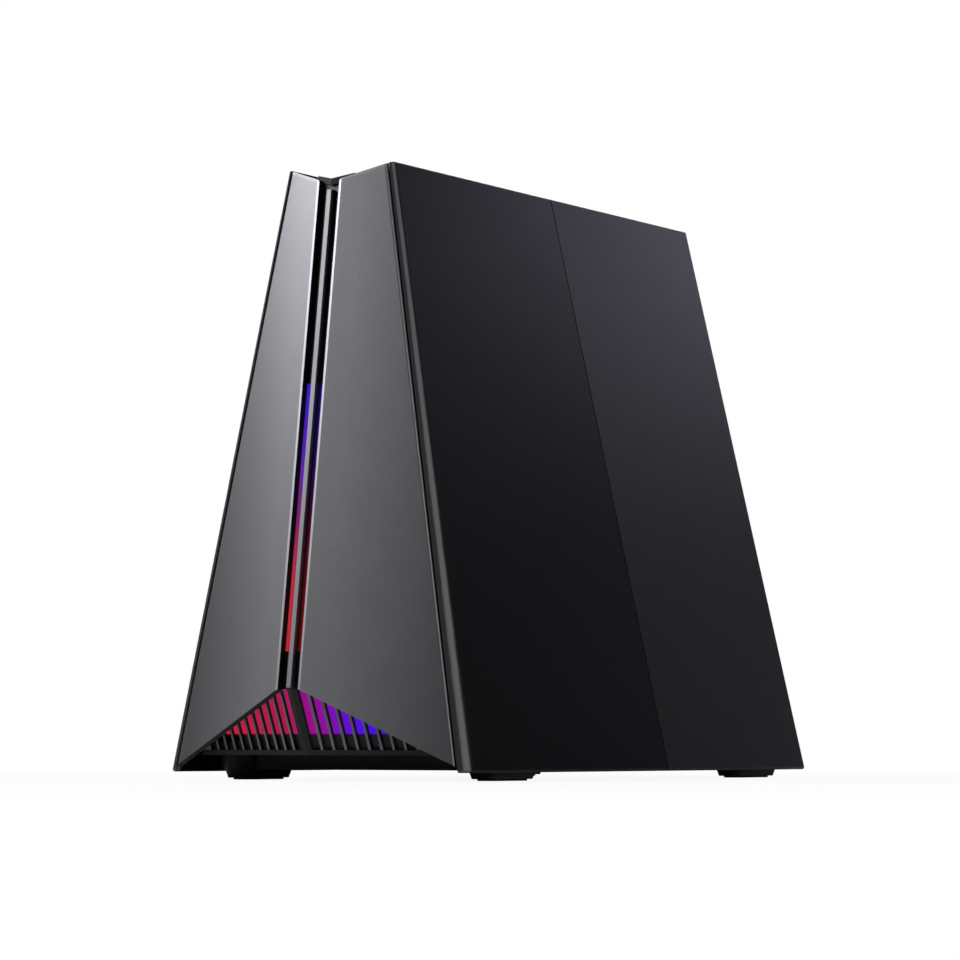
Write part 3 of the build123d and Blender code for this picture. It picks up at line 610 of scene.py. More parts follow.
@dataclass(frozen=True)
class CircuitLaminate(Finish):
    """Board laminate under solder mask, with copper tracks and pads that show through it.

    The tracks' own sizes are shares of the track size in millimetres.
    """

    track_colour: str = "#1f5236"
    track_mm: float = 3.2
    track_width: float = 0.06
    track_length: float = 2.6
    track_row: float = 0.5

    def tone(self, tree: Tree, place: Node) -> Socket:
        """Gives the mask's tone with lighter tracks.

        Args:
            tree: The material's nodes.
            place: Its texture coordinates.

        Returns:
            The socket with the colour.
        """
        parts = split(tree, place)
        flat = add_node(tree, "ShaderNodeCombineXYZ", {"X": parts["Y"], "Y": parts["Z"]})
        tracks = add_node(tree, "ShaderNodeTexBrick", {
            "Vector": flat.outputs["Vector"],
            "Scale": 1 / (self.track_mm * MM),
            "Mortar Size": self.track_width,
            "Brick Width": self.track_length,
            "Row Height": self.track_row,
        })
        return mixed(tree, tracks.outputs["Fac"], super().tone(tree, place), linear(self.track_colour))


class Finishes:
    """Every finish of the router."""

    # Spark-eroded black ABS: near black with a soft sheen, with painted light that makes it paler to the
    # rear, and a painted highlight in a satin band round the front corner
    SHELL = RoundedShell("moulded_abs_black", "#101012", 0.3, tone_spread=0.08, grain_mm=0.5,
                         grain_height_mm=0.004)
    # The same ABS on the roof and the bezel, sparked coarser, so that no lamp shows as a glare on them
    ROOF = Finish("moulded_abs_roof", "#141416", 0.62, grain_mm=0.6, tone_spread=0.08)
    # The rear shells, with painted light: a shade lighter than the front ones, and paler still to the rear
    REAR_SHELL = MouldedShell("moulded_abs_rear_shell", "#232326", 0.42, grain_mm=0.5, tone_spread=0.08,
                              front_mm=20.0, rear_mm=115.0, front_light=0.95, rear_light=1.5)
    # The same ABS on the base, with a coarser and duller texture
    BASE = Finish("moulded_abs_base", "#1c1c1f", 0.6, grain_mm=0.7, grain_height_mm=0.03)
    # Smoother ABS for the frame and the channel, so that the light of the strips shows on it
    TRIM = Finish("moulded_abs_trim", "#0d0d0f", 0.45)
    # Slats in near-black ABS with their front edges sprayed grey, so that they show against the light
    GRILLE = SlattedPlastic("moulded_abs_grille", "#101012", 0.6)
    # Rear panel in matt ABS: flat black beside the smoother sockets and buttons
    PANEL = Finish("moulded_abs_rear", "#141417", 0.55)
    # Bead-blasted anodised aluminium: a soft metallic grain, with painted shade that dims it to the outer
    # edges, and dark flanks
    SILVER = PaintedFlankMetal("blasted_aluminium", "#9c9ca1", 0.46, metallic=1.0, grain_height_mm=0.02,
                               face=(0.31, 0.94, 0.12))
    # The same metal on the narrow fin, a shade darker and duller
    FIN = Finish("blasted_aluminium_fin", "#8a8a8e", 0.55, metallic=1.0)
    # Milky acrylic strip over coloured light: red at the foot, violet at the top
    GUIDE = LitAcrylic(
        "lit_acrylic_strip", "#060408", 0.6, ior=1.3, axis=Axis.Z, low_mm=42.3, high_mm=131.2,
        colours=(
            (0.0, "#c82a34"), (0.2, "#c42d40"), (0.35, "#b42c50"), (0.47, "#8c2460"),
            (0.57, "#7a2586"), (0.7, "#5e28ae"), (0.85, "#4a22be"), (1.0, "#4020c8"),
        ),
        dim_reach_mm=4.2,
        dimming=(
            (0.0, "#3a3a3a"), (0.4, "#606060"), (0.6, "#9a9a9a"), (0.78, "#ffffff"), (1.0, "#c8c8c8"),
        ),
    )
    # Frosted acrylic behind the slats: red on the left, magenta at the ridge, violet on the right
    GRILLE_LIGHT = LitAcrylic(
        "lit_acrylic_grille", "#060408", 0.7, ior=1.3, axis=Axis.X, low_mm=-42.0, high_mm=42.0,
        colours=(
            (0.0, "#cc1a34"), (0.08, "#c81a3b"), (0.4, "#a2194e"), (0.47, "#981e5e"),
            (0.53, "#930682"), (0.57, "#8f088c"), (0.643, "#720ab2"), (0.7, "#5c06cd"),
            (0.745, "#4f07e3"), (0.85, "#3c0ac8"), (1.0, "#3a10b0"),
        ),
    )
    # Cast rubber feet: dull and a little dusty
    RUBBER = Finish("cast_rubber", "#0f0f10", 0.85, tone_mm=3.0, tone_spread=0.4, grain_mm=0.6,
                    grain_height_mm=0.03)
    # Glass laminate under green solder mask: a satin green with the tracks a shade lighter
    BOARD = CircuitLaminate("masked_laminate", "#10291c", 0.35, tone_mm=4.0, tone_spread=0.35)
    # Nickel-plated sheet steel, rolled along z: a grey mirror with faint upright streaks
    STEEL = Finish("rolled_plated_steel", "#b9b9b6", 0.3, metallic=1.0, gloss_spread=0.1,
                   stretch=(1.0, 1.0, 0.06))
    # Zinc-plated steel of the screws: bright, with a faint yellow cast
    SCREW = Finish("plated_screw_steel", "#b4b1a8", 0.28, metallic=1.0, tone_mm=1.5, tone_spread=0.12)
    # Hard gold over nickel: warm and smooth
    GOLD = Finish("gold_plate", "#d9b45c", 0.25, metallic=1.0)
    # Extruded aluminium, drawn along y: long fine die lines
    SINK = Finish("extruded_aluminium", "#a2a4a6", 0.4, metallic=1.0, gloss_spread=0.12,
                  stretch=(1.0, 0.02, 1.0))
    # Glass-filled nylon: dull black with pale fibre flecks
    NYLON = Finish("glass_filled_nylon", "#18181a", 0.6, tone_mm=0.8, tone_spread=0.3)
    # Moulded nylon of the jacks: satin black, and blue for the outside line
    JACK = Finish("jack_nylon_black", "#1b1b1d", 0.45)
    WAN = Finish("jack_nylon_blue", "#1d4f9c", 0.45)
    # Moulded nylon inside the USB socket: a smoother and slightly brighter blue
    USB = Finish("usb_nylon_blue", "#1c58b0", 0.4)
    # Polished ABS of the push buttons: a smooth cap beside the matt panel
    BUTTON = Finish("polished_abs_button", "#1d1d20", 0.28, grain_height_mm=0.004)
    # Moulded epoxy of chips: matt, with a fine gritty skin
    CHIP = Finish("chip_epoxy", "#151515", 0.5, grain_height_mm=0.02)
    # Silicone gap filler: chalky and soft
    PAD = Finish("gap_filler", "#7c8fa3", 0.8, tone_mm=1.2, tone_spread=0.12)
    # Clear epoxy over a white reflector: pale and glossy
    LED = Finish("led_epoxy", "#e6e2d6", 0.25)
    # Clear green lens over a dark link lamp
    LENS = Finish("lamp_acrylic_green", "#2f7d3c", 0.15, grain_height_mm=0.002)
    # Turned acetal of the plungers: waxy off-white
    ACETAL = Finish("acetal_white", "#d8d8d2", 0.4)
    # Soft PVC jacket of the aerial leads: dark grey with a dull shine
    JACKET = Finish("pvc_jacket", "#2b2b2d", 0.5)
    # Polyimide over copper: amber and satin, with streaks along y
    RIBBON = Finish("polyimide_ribbon", "#c9a36a", 0.4, stretch=(1.0, 0.1, 1.0), tone_spread=0.15)
    # Woven nylon dust screen: matt, so that the vents stay dark
    SCREEN = Finish("woven_nylon_screen", "#1a1a1c", 0.6)
    # Pad-printed pale grey ink: flat and dry
    PRINT = Finish("printed_grey_ink", "#a9a9ac", 0.7, tone_mm=0.8, tone_spread=0.1)
    # Spun aluminium of the capacitor cans: bright, with faint lines along their height
    CAN = Finish("spun_aluminium_can", "#c4c6c8", 0.35, metallic=1.0, stretch=(0.2, 1.0, 1.0))
    # Pressed ferrite of the coils: dull dark grey with lighter specks
    FERRITE = Finish("pressed_ferrite", "#3a3a3c", 0.55, tone_mm=0.7, tone_spread=0.25)


def alone(piece: Piece) -> None:
    """Makes a piece the active one and the only one selected."""
    bpy.ops.object.select_all(action="DESELECT")
    piece.select_set(True)
    bpy.context.view_layer.objects.active = piece


def set_in_place(piece: Piece) -> None:
    """Moves a piece's place, turn and scale into its mesh."""
    alone(piece)
    bpy.ops.object.transform_apply(location=True, rotation=True, scale=True)


def block(low: Vector, high: Vector) -> Piece:
    """Starts a piece as a box.

    Args:
        low: Its lowest corner in millimetres.
        high: Its highest corner.

    Returns:
        The box, with its place in its mesh.
    """
    bpy.ops.object.select_all(action="DESELECT")
    bpy.ops.mesh.primitive_cube_add(size=1.0, location=(low + high) / 2 * MM, scale=(high - low) * MM)
    box = bpy.context.object
    set_in_place(box)
    return box


def rod(start: Vector, end: Vector, radius: float, sides: int = 32) -> Piece:
    """Starts a piece as a round bar.

    Args:
        start: The middle of one end in millimetres.
        end: The middle of the other end.
        radius: The bar's radius.
        sides: How many sides its round has.

    Returns:
        The bar, with its place in its mesh.
    """
    along = end - start
    bpy.ops.object.select_all(action="DESELECT")
    bpy.ops.mesh.primitive_cylinder_add(
        vertices=sides,
        radius=radius * MM,
        depth=along.length * MM,
        location=(start + end) / 2 * MM,
        rotation=along.to_track_quat("Z", "Y").to_euler(),
    )
    bar = bpy.context.object
    set_in_place(bar)
    return bar


@contextmanager
def shaping(piece: Piece) -> Iterator[None]:
    """Opens a piece for edits of its faces, with none of them selected."""
    alone(piece)
    bpy.ops.object.mode_set(mode="EDIT")
    bpy.ops.mesh.select_mode(type="FACE")
    bpy.ops.mesh.select_all(action="DESELECT")
    yield
    bpy.ops.object.mode_set(mode="OBJECT")


def pick(piece: Piece, direction: Triple) -> None:
    """Selects the outermost faces of an opened piece that look along a direction, and no others.

    Args:
        piece: The piece in edit mode.
        direction: A unit direction.
    """
    bpy.ops.mesh.select_all(action="DESELECT")
    way = Vector(direction)
    mesh = bmesh.from_edit_mesh(piece.data)
    turned = [face for face in mesh.faces if face.normal.dot(way) > SAME_WAY]
    reach = max(face.calc_center_median().dot(way) for face in turned)
    for face in turned:
        face.select_set(face.calc_center_median().dot(way) > reach - LEVEL_MM * MM)
    mesh.select_flush_mode()
    bmesh.update_edit_mesh(piece.data)


def pull(piece: Piece, direction: Triple, inset: float, length: float) -> None:
    """Insets the outermost faces that look along a direction and pulls what is left out along it.

    Args:
        piece: The piece in edit mode.
        direction: A unit direction.
        inset: How far the faces shrink, in millimetres.
        length: How far they are pulled, inwards where it is negative.
    """
    pick(piece, direction)
    if inset:
        bpy.ops.mesh.inset(thickness=inset * MM, depth=0.0)
    way = Vector(direction) * length * MM
    bpy.ops.mesh.extrude_region_move(TRANSFORM_OT_translate={"value": tuple(way)})


def crown(piece: Piece, direction: Triple, width: float, steps: int = 3) -> None:
    """Rounds the rim of the outermost faces that look along a direction.

    Args:
        piece: The piece in edit mode.
        direction: A unit direction.
        width: The width of the round in millimetres.
        steps: How many facets it has.
    """
    pick(piece, direction)
    bpy.ops.mesh.bevel(offset=width * MM, segments=steps, affect="EDGES")


def apply_modifier(piece: Piece, kind: str, **settings) -> None:
    """Adds a modifier to a piece and applies it.

    Args:
        piece: The piece.
        kind: Blender's name for the modifier.
        **settings: The modifier's settings.
    """
    alone(piece)
    bpy.context.view_layer.update()
    bpy.ops.object.modifier_add(type=kind)
    modifier = piece.modifiers[-1]
    for setting, value in settings.items():
        setattr(modifier, setting, value)
    bpy.ops.object.modifier_apply(modifier=modifier.name)


def soften(piece: Piece, width: float, steps: int = 2) -> None:
    """Rounds every sharp edge of a piece by a width in millimetres."""
    apply_modifier(piece, "BEVEL", width=width * MM, segments=steps, limit_method="ANGLE",
                   angle_limit=math.radians(SHARP_DEGREES))


def cut(piece: Piece, *cutters: Piece) -> None:
    """Takes cutters out of a piece and removes them from the scene."""
    for cutter in cutters:
        apply_modifier(piece, "BOOLEAN", operation="DIFFERENCE", solver="MANIFOLD", object=cutter)
        bpy.data.objects.remove(cutter)


def weld(piece: Piece) -> None:
    """Merges a piece's doubled points and turns its faces outwards."""
    with shaping(piece):
        bpy.ops.mesh.select_all(action="SELECT")
        bpy.ops.mesh.remove_doubles(threshold=WELD_MM * MM)
        bpy.ops.mesh.normals_make_consistent(inside=False)


def join(pieces: list[Piece]) -> Piece:
    """Joins pieces into the first of them.

    Args:
        pieces: The pieces, at least one.

    Returns:
        The joined piece.
    """
    alone(pieces[0])
    for piece in pieces:
        piece.select_set(True)
    bpy.ops.object.join()
    return pieces[0]


def twin(piece: Piece, offset: Vector) -> Piece:
    """Copies a piece, with a mesh of its own, to another place.

    Args:
        piece: The piece.
        offset: The way to the copy in millimetres.

    Returns:
        The copy.
    """
    copy = piece.copy()
    copy.data = piece.data.copy()
    bpy.context.scene.collection.objects.link(copy)
    copy.location = offset * MM
    return copy


def row(first: Piece, pitch: Vector, count: int) -> Piece:
    """Repeats a piece in a row and joins the row into it.

    Args:
        first: The piece.
        pitch: The way from one to the next in millimetres.
        count: How many there are in all.

    Returns:
        The row.
    """
    return join([first] + [twin(first, pitch * step) for step in range(1, count)])


def settle(piece: Piece, name: str, finish: Finish, body: Body = Body.HOUSING) -> None:
    """Finishes a new piece: its name, place, shading, material and body.

    Args:
        piece: The modelled piece.
        name: Its name.
        finish: What it is made of.
        body: The body that it rides on.
    """
    set_in_place(piece)
    bpy.ops.object.shade_smooth_by_angle(angle=math.radians(SMOOTH_DEGREES))
    piece.name = name
    piece.data.name = name
    piece.data.materials.clear()
    piece.data.materials.append(finish.material())
    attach(piece, body.value)
    LOG.info("%s is %s and rides on %s", name, finish.name, body.value)


def box_mm(node: str) -> tuple[Vector, Vector]:
    """Gives the lowest and the highest corner of a node in millimetres."""
    low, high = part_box(node)
    return low / MM, high / MM


def rear_middle(node: str) -> Vector:
    """Gives the middle of a node's rear face in millimetres."""
    low, high = box_mm(node)
    return Vector(((low.x + high.x) / 2, high.y, (low.z + high.z) / 2))


@dataclass(frozen=True)
class SubAssembly:
    """A group of the router's pieces that is built and dressed together."""

    NODES: ClassVar[dict[str, Finish]] = {}

    def dress(self) -> None:
        """Gives each of the group's nodes its finish."""
        for node, finish in self.NODES.items():
            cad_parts[node].material_slots[0].material = finish.material()
            LOG.info("%s wears %s", node, finish.name)

    def build(self) -> None:
        """Models the group's own pieces, which are none here."""


@dataclass(frozen=True)
class Housing(SubAssembly):
    """The side shells, the vented roof and the rear bezel, with the dust screens under the roof."""

    NODES: ClassVar[dict[str, Finish]] = {
        "left_front_shell": Finishes.SHELL,
        "left_rear_shell": Finishes.REAR_SHELL,
        "right_front_shell": Finishes.SHELL,
        "right_rear_shell": Finishes.REAR_SHELL,
        "top_vent_cover": Finishes.ROOF,
        "rear_bezel": Finishes.ROOF,
    }
    roof_tilt: float = 13.0
    roof_fall: float = 1.884
    screen_inner: float = 1.5
    screen_outer: float = 17.0
    screen_front: float = -84.0
    screen_rear: float = 80.0
    screen_drop: float = 0.5
    thread_pitch: float = 1.9
    thread: float = 0.35

    def build(self) -> None:
        """Weaves the two dust screens."""
        for side, name in ((-1, "left_dust_screen"), (1, "right_dust_screen")):
            settle(self.screen(side), name, Finishes.SCREEN)

    def screen(self, side: int) -> Piece:
        """Models one dust screen, parallel to its half of the roof.

        Args:
            side: Minus one for the left half, one for the right half.

        Returns:
            The screen.
        """
        low, high = box_mm("top_vent_cover")
        width = self.screen_outer - self.screen_inner
        length = self.screen_rear - self.screen_front
        bpy.ops.object.select_all(action="DESELECT")
        bpy.ops.mesh.primitive_grid_add(
            x_subdivisions=round(width / self.thread_pitch),
            y_subdivisions=round(length / self.thread_pitch),
            size=1.0,
        )
        screen = bpy.context.object
        screen.scale = width * MM, length * MM, 1.0
        set_in_place(screen)
        middle_x = (self.screen_inner + self.screen_outer) / 2
        middle_y = (self.screen_front + self.screen_rear) / 2
        under = low.z + (high.y - middle_y) * math.tan(math.radians(self.roof_fall))
        rise = middle_x * math.tan(math.radians(self.roof_tilt))
        screen.location = Vector((side * middle_x, middle_y, under + rise - self.screen_drop)) * MM
        screen.rotation_mode = "YXZ"
        screen.rotation_euler = -math.radians(self.roof_fall), -side * math.radians(self.roof_tilt), 0.0
        with shaping(screen):
            bpy.ops.mesh.select_all(action="SELECT")
            bpy.ops.mesh.inset(thickness=self.thread / 2 * MM, use_individual=True, use_boundary=True)
            bpy.ops.mesh.delete(type="FACE")
        apply_modifier(screen, "SOLIDIFY", thickness=self.thread * MM, offset=0.0)
        return screen


@dataclass(frozen=True)
class FrontFace(SubAssembly):
    """The silver panels, the frame behind them, the fin and the lit strips of the slot."""

    NODES: ClassVar[dict[str, Finish]] = {
        "front_frame": Finishes.TRIM,
        "left_front_panel": Finishes.SILVER,
        "right_front_panel": Finishes.SILVER,
        "center_fin": Finishes.FIN,
        "left_light_guide": Finishes.GUIDE,
        "right_light_guide": Finishes.GUIDE,
        "light_strip_board": Finishes.BOARD,
        "light_strip_leds": Finishes.LED,
        "light_ribbon": Finishes.RIBBON,
    }


@dataclass(frozen=True)
class LowerGrille(SubAssembly):
    """The slatted grille at the foot of the front, with the lit diffusers behind it."""

    NODES: ClassVar[dict[str, Finish]] = {
        "lower_grille": Finishes.GRILLE,
        "left_grille_diffuser": Finishes.GRILLE_LIGHT,
        "right_grille_diffuser": Finishes.GRILLE_LIGHT,
        "left_grille_board": Finishes.BOARD,
        "right_grille_board": Finishes.BOARD,
        "grille_leds": Finishes.LED,
    }


@dataclass(frozen=True)
class BasePlate(SubAssembly):
    """The base tray with its feet and screws."""

    NODES: ClassVar[dict[str, Finish]] = {
        "base_tray": Finishes.BASE,
        "rubber_feet": Finishes.RUBBER,
    }
    head_radius: float = 2.7
    head_height: float = 1.6
    shank_radius: float = 1.5
    recess_length: float = 3.4
    recess_width: float = 0.85
    recess_depth: float = 1.0
    dome: float = 0.6
    tip_length: float = 1.0
    tip_taper: float = 0.4

    def build(self) -> None:
        """Models the four base screws in the places of the plain ones."""
        low, high = box_mm("base_screws")
        places = [
            Vector((x, y, low.z))
            for x in (low.x + self.head_radius, high.x - self.head_radius)
            for y in (low.y + self.head_radius, high.y - self.head_radius)
        ]
        first = self.screw(places[0], high.z - low.z)
        screws = join([first] + [twin(first, place - places[0]) for place in places[1:]])
        settle(screws, "cross_head_base_screws", Finishes.SCREW)
        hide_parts("base_screws")

    def screw(self, foot: Vector, length: float) -> Piece:
        """Models one screw that is driven upwards.

        Args:
            foot: The middle of its head's outer face in millimetres.
            length: Its whole length.

        Returns:
            The screw.
        """
        up = Vector(UP)
        shank = length - self.head_height - self.tip_length
        screw = rod(foot, foot + up * self.head_height, self.head_radius)
        with shaping(screw):
            crown(screw, DOWN, self.dome)
            pull(screw, UP, self.head_radius - self.shank_radius, shank)
            pull(screw, UP, self.shank_radius * self.tip_taper, self.tip_length)
        reach = self.recess_length / 2
        half = self.recess_width / 2
        for across, along in ((reach, half), (half, reach)):
            corner = Vector((across, along, 0.0))
            cut(screw, block(foot - corner - up, foot + corner + up * self.recess_depth))
        return screw


@dataclass(frozen=True)
class PortColumn(SubAssembly):
    """The rear panel with its sockets, buttons, numerals and marks."""

    NODES: ClassVar[dict[str, Finish]] = {
        "rear_port_panel": Finishes.PANEL,
        "wan_jack": Finishes.WAN,
        "lan_jack_1": Finishes.JACK,
        "lan_jack_2": Finishes.JACK,
        "lan_jack_3": Finishes.JACK,
        "lan_jack_4": Finishes.JACK,
        "jack_contacts": Finishes.GOLD,
        "usb_shell": Finishes.STEEL,
        "usb_insulator": Finishes.USB,
        "usb_riser": Finishes.NYLON,
        "dc_inlet": Finishes.JACK,
        "dc_inlet_pin": Finishes.SCREW,
        "power_button": Finishes.BUTTON,
        "light_button": Finishes.BUTTON,
        "wps_button": Finishes.BUTTON,
        "power_switch_body": Finishes.NYLON,
        "small_switch_bodies": Finishes.NYLON,
        "power_switch_plunger": Finishes.ACETAL,
        "light_switch_plunger": Finishes.ACETAL,
        "wps_switch_plunger": Finishes.ACETAL,
        "reset_switch_plunger": Finishes.ACETAL,
    }
    JACKS: ClassVar[tuple[str, ...]] = ("wan_jack", "lan_jack_1", "lan_jack_2", "lan_jack_3", "lan_jack_4")
    sheet: float = 0.3
    sheet_margin: float = 0.1
    cut_reach: float = 1.0
    socket_half_width: float = 3.6
    socket_half_height: float = 5.9
    latch_reach: float = 5.8
    latch_half_height: float = 3.1
    lamp_near: float = 3.9
    lamp_far: float = 6.8
    lamp_inner: float = 4.1
    lamp_outer: float = 5.9
    contact_count: int = 4
    contact_pitch: float = 2.5
    contact_half_width: float = 0.6
    contact_length: float = 7.0
    contact_sheet: float = 0.15
    contact_setback: float = 1.0
    contact_bend: float = 0.5
    sleeve_radius: float = 3.15
    sleeve_wall: float = 0.35
    sleeve_foot: float = 0.1
    sleeve_setback: float = 0.4
    sleeve_sides: int = 48
    numeral_size: float = 4.6
    numeral_x: float = 11.4
    print_height: float = 0.12
    mark_radius: float = 2.2
    mark_stroke: float = 0.55
    tip_inset: float = 0.125
    tip_reach: float = 0.25
    arc_step: float = 12.0
    power_gap: float = 80.0
    power_bar_foot: float = 0.4
    power_bar_reach: float = 1.1
    light_ring_share: float = 0.45
    light_ring_sweep: float = 354.0
    ray_foot: float = 0.85
    ray_reach: float = 1.05
    ray_turn: int = 45
    pairing_share: float = 0.9
    pairing_starts: Pair = (15.0, 195.0)
    pairing_sweep: float = 130.0

    def build(self) -> None:
        """Models the shields, lamps, contacts, sleeve, numerals and marks."""
        middle = rear_middle(self.JACKS[0])
        shield = self.shield(middle)
        lamps = self.lamps(middle)
        for jack in self.JACKS:
            offset = Vector((0.0, 0.0, rear_middle(jack).z - middle.z))
            settle(twin(shield, offset), jack + "_shield", Finishes.STEEL)
            settle(twin(lamps, offset), jack + "_lamps", Finishes.LENS)
        bpy.data.objects.remove(shield)
        bpy.data.objects.remove(lamps)
        settle(self.usb_contacts(), "usb_contacts", Finishes.GOLD)
        settle(self.inlet_sleeve(), "inlet_sleeve", Finishes.SCREW)
        for number in range(1, len(self.JACKS)):
            settle(self.numeral(number), f"port_numeral_{number}", Finishes.PRINT)
        settle(self.power_mark(), "power_mark", Finishes.PRINT, Body.POWER_KEY)
        settle(self.light_mark(), "light_mark", Finishes.PRINT, Body.LIGHT_KEY)
        settle(self.pairing_mark(), "pairing_mark", Finishes.PRINT, Body.WPS_KEY)

    def shield(self, middle: Vector) -> Piece:
        """Models the pressed front sheet of a jack.

        Args:
            middle: The middle of the jack's mouth in millimetres.

        Returns:
            The sheet, with its openings.
        """
        low, high = box_mm(self.JACKS[0])
        half_width = (high.x - low.x) / 2 - self.sheet_margin
        half_height = (high.z - low.z) / 2 - self.sheet_margin
        corner = Vector((half_width, 0.0, half_height))
        depth = Vector((0.0, self.sheet, 0.0))
        sheet = block(middle - corner, middle + corner + depth)
        socket_x = self.socket_half_width
        socket_z = self.socket_half_height
        openings = [
            (-socket_x, socket_x, -socket_z, socket_z),
            (-self.latch_reach, 0.0, -self.latch_half_height, self.latch_half_height),
            (-self.lamp_outer, -self.lamp_inner, self.lamp_near, self.lamp_far),
            (-self.lamp_outer, -self.lamp_inner, -self.lamp_far, -self.lamp_near),
        ]
        for left, right, bottom, top in openings:
            cut(sheet, block(
                middle + Vector((left, -self.cut_reach, bottom)),
                middle + Vector((right, self.cut_reach, top)),
            ))
        soften(sheet, self.sheet / 3)
        return sheet

    def lamps(self, middle: Vector) -> Piece:
        """Models the two link lamps of a jack.

        Args:
            middle: The middle of the jack's mouth in millimetres.

        Returns:
            The two lenses.
        """
        margin = self.sheet_margin
        first = block(
            middle + Vector((-self.lamp_outer + margin, 0.0, self.lamp_near + margin)),
            middle + Vector((-self.lamp_inner - margin, self.sheet, self.lamp_far - margin)),
        )
        with shaping(first):
            crown(first, REARWARD, self.sheet / 2)
        return row(first, Vector((0.0, 0.0, -self.lamp_near - self.lamp_far)), 2)

    def usb_contacts(self) -> Piece:
        """Models the bent contacts on the socket's tongue.

        Returns:
            The contacts.
        """
        low, high = box_mm("usb_insulator")
        first_z = (low.z + high.z) / 2 - (self.contact_count - 1) / 2 * self.contact_pitch
        first = block(
            Vector((-self.contact_sheet, high.y - self.contact_length, first_z - self.contact_half_width)),
            Vector((0.0, high.y - self.contact_setback, first_z + self.contact_half_width)),
        )
        with shaping(first):
            pull(first, REARWARD, 0.0, self.contact_bend)
            bpy.ops.transform.translate(value=(self.contact_sheet * MM, 0.0, 0.0))
        soften(first, self.contact_sheet / 4)
        return row(first, Vector((0.0, 0.0, self.contact_pitch)), self.contact_count)

    def inlet_sleeve(self) -> Piece:
        """Models the sprung metal sleeve inside the power inlet.

        Returns:
            The sleeve.
        """
        pin_low, pin_high = box_mm("dc_inlet_pin")
        axis = (pin_low + pin_high) / 2
        mouth = rear_middle("dc_inlet").y
        start = Vector((axis.x, pin_low.y + self.sleeve_foot, axis.z))
        end = Vector((axis.x, mouth - self.sleeve_setback, axis.z))
        out = Vector(REARWARD)
        sleeve = rod(start, end, self.sleeve_radius, self.sleeve_sides)
        bore = self.sleeve_radius - self.sleeve_wall
        cut(sleeve, rod(start - out, end + out, bore, self.sleeve_sides))
        soften(sleeve, self.sleeve_wall / 4)
        return sleeve

    def numeral(self, number: int) -> Piece:
        """Prints a jack's number beside it.

        Args:
            number: The number.

        Returns:
            The numeral, a thin film on the panel.
        """
        bpy.ops.object.select_all(action="DESELECT")
        bpy.ops.object.text_add()
        numeral = bpy.context.object
        numeral.data.body = str(number)
        numeral.data.align_x = "CENTER"
        numeral.data.align_y = "CENTER"
        numeral.data.size = self.numeral_size * MM
        numeral.data.extrude = self.print_height / 2 * MM
        bpy.ops.object.convert(target="MESH")
        numeral = bpy.context.object
        weld(numeral)
        height = rear_middle("rear_port_panel").y + self.print_height / 2
        numeral.location = Vector((self.numeral_x, height, rear_middle(f"lan_jack_{number}").z)) * MM
        numeral.rotation_euler = math.radians(90), 0.0, math.radians(180)
        return numeral

    def stroke(self, start: Vector, end: Vector) -> Piece:
        """Models a straight stroke of a mark, with tapered ends.

        Args:
            start: The middle of one end on the cap in millimetres.
            end: The middle of the other end.

        Returns:
            The stroke.
        """
        along = (end - start).normalized()
        half = (end - start).length / 2
        side = self.mark_stroke / 2
        bar = block(Vector((-side, 0.0, -half)), Vector((side, self.print_height, half)))
        with shaping(bar):
            for way in (UP, DOWN):
                pull(bar, way, self.mark_stroke * self.tip_inset, self.mark_stroke * self.tip_reach)
        bar.location = (start + end) / 2 * MM
        bar.rotation_euler = 0.0, math.atan2(along.x, along.z), 0.0
        set_in_place(bar)
        return bar

    def arc(self, middle: Vector, radius: float, start: float, sweep: float) -> Piece:
        """Models a round stroke of a mark by spinning its cross-section.

        Args:
            middle: The middle of the round on the cap in millimetres.
            radius: The radius of the stroke's middle line.
            start: The angle that it begins at, in degrees from upright.
            sweep: How far it goes round, in degrees.

        Returns:
            The stroke.
        """
        half = self.mark_stroke / 2
        turn = math.radians(start)
        piece = block(
            Vector((-half / 2, 0.0, radius - half)),
            Vector((0.0, self.print_height, radius + half)),
        )
        piece.location = middle * MM
        piece.rotation_euler = 0.0, turn, 0.0
        set_in_place(piece)
        with shaping(piece):
            pick(piece, (math.cos(turn), 0.0, -math.sin(turn)))
            bpy.ops.mesh.spin(
                steps=round(sweep / self.arc_step),
                angle=math.radians(sweep),
                center=tuple(middle * MM),
                axis=AHEAD,
            )
        weld(piece)
        return piece

    def power_mark(self) -> Piece:
        """Models the open ring and bar on the power button.

        Returns:
            The mark.
        """
        middle = rear_middle("power_button")
        bar = self.stroke(
            middle + Vector((0.0, 0.0, self.power_bar_foot)),
            middle + Vector((0.0, 0.0, self.mark_radius * self.power_bar_reach)),
        )
        return join([bar, self.arc(middle, self.mark_radius, self.power_gap / 2, 360 - self.power_gap)])

    def light_mark(self) -> Piece:
        """Models the ring and rays on the light button.

        Returns:
            The mark.
        """
        middle = rear_middle("light_button")
        strokes = [self.arc(middle, self.mark_radius * self.light_ring_share, 0.0, self.light_ring_sweep)]
        for turn in range(0, 360, self.ray_turn):
            way = Vector((math.sin(math.radians(turn)), 0.0, math.cos(math.radians(turn))))
            strokes.append(self.stroke(
                middle + way * self.mark_radius * self.ray_foot,
                middle + way * self.mark_radius * self.ray_reach,
            ))
        return join(strokes)

    def pairing_mark(self) -> Piece:
        """Models the two chasing arcs on the pairing button.

        Returns:
            The mark.
        """
        middle = rear_middle("wps_button")
        radius = self.mark_radius * self.pairing_share
        return join([self.arc(middle, radius, start, self.pairing_sweep) for start in self.pairing_starts])


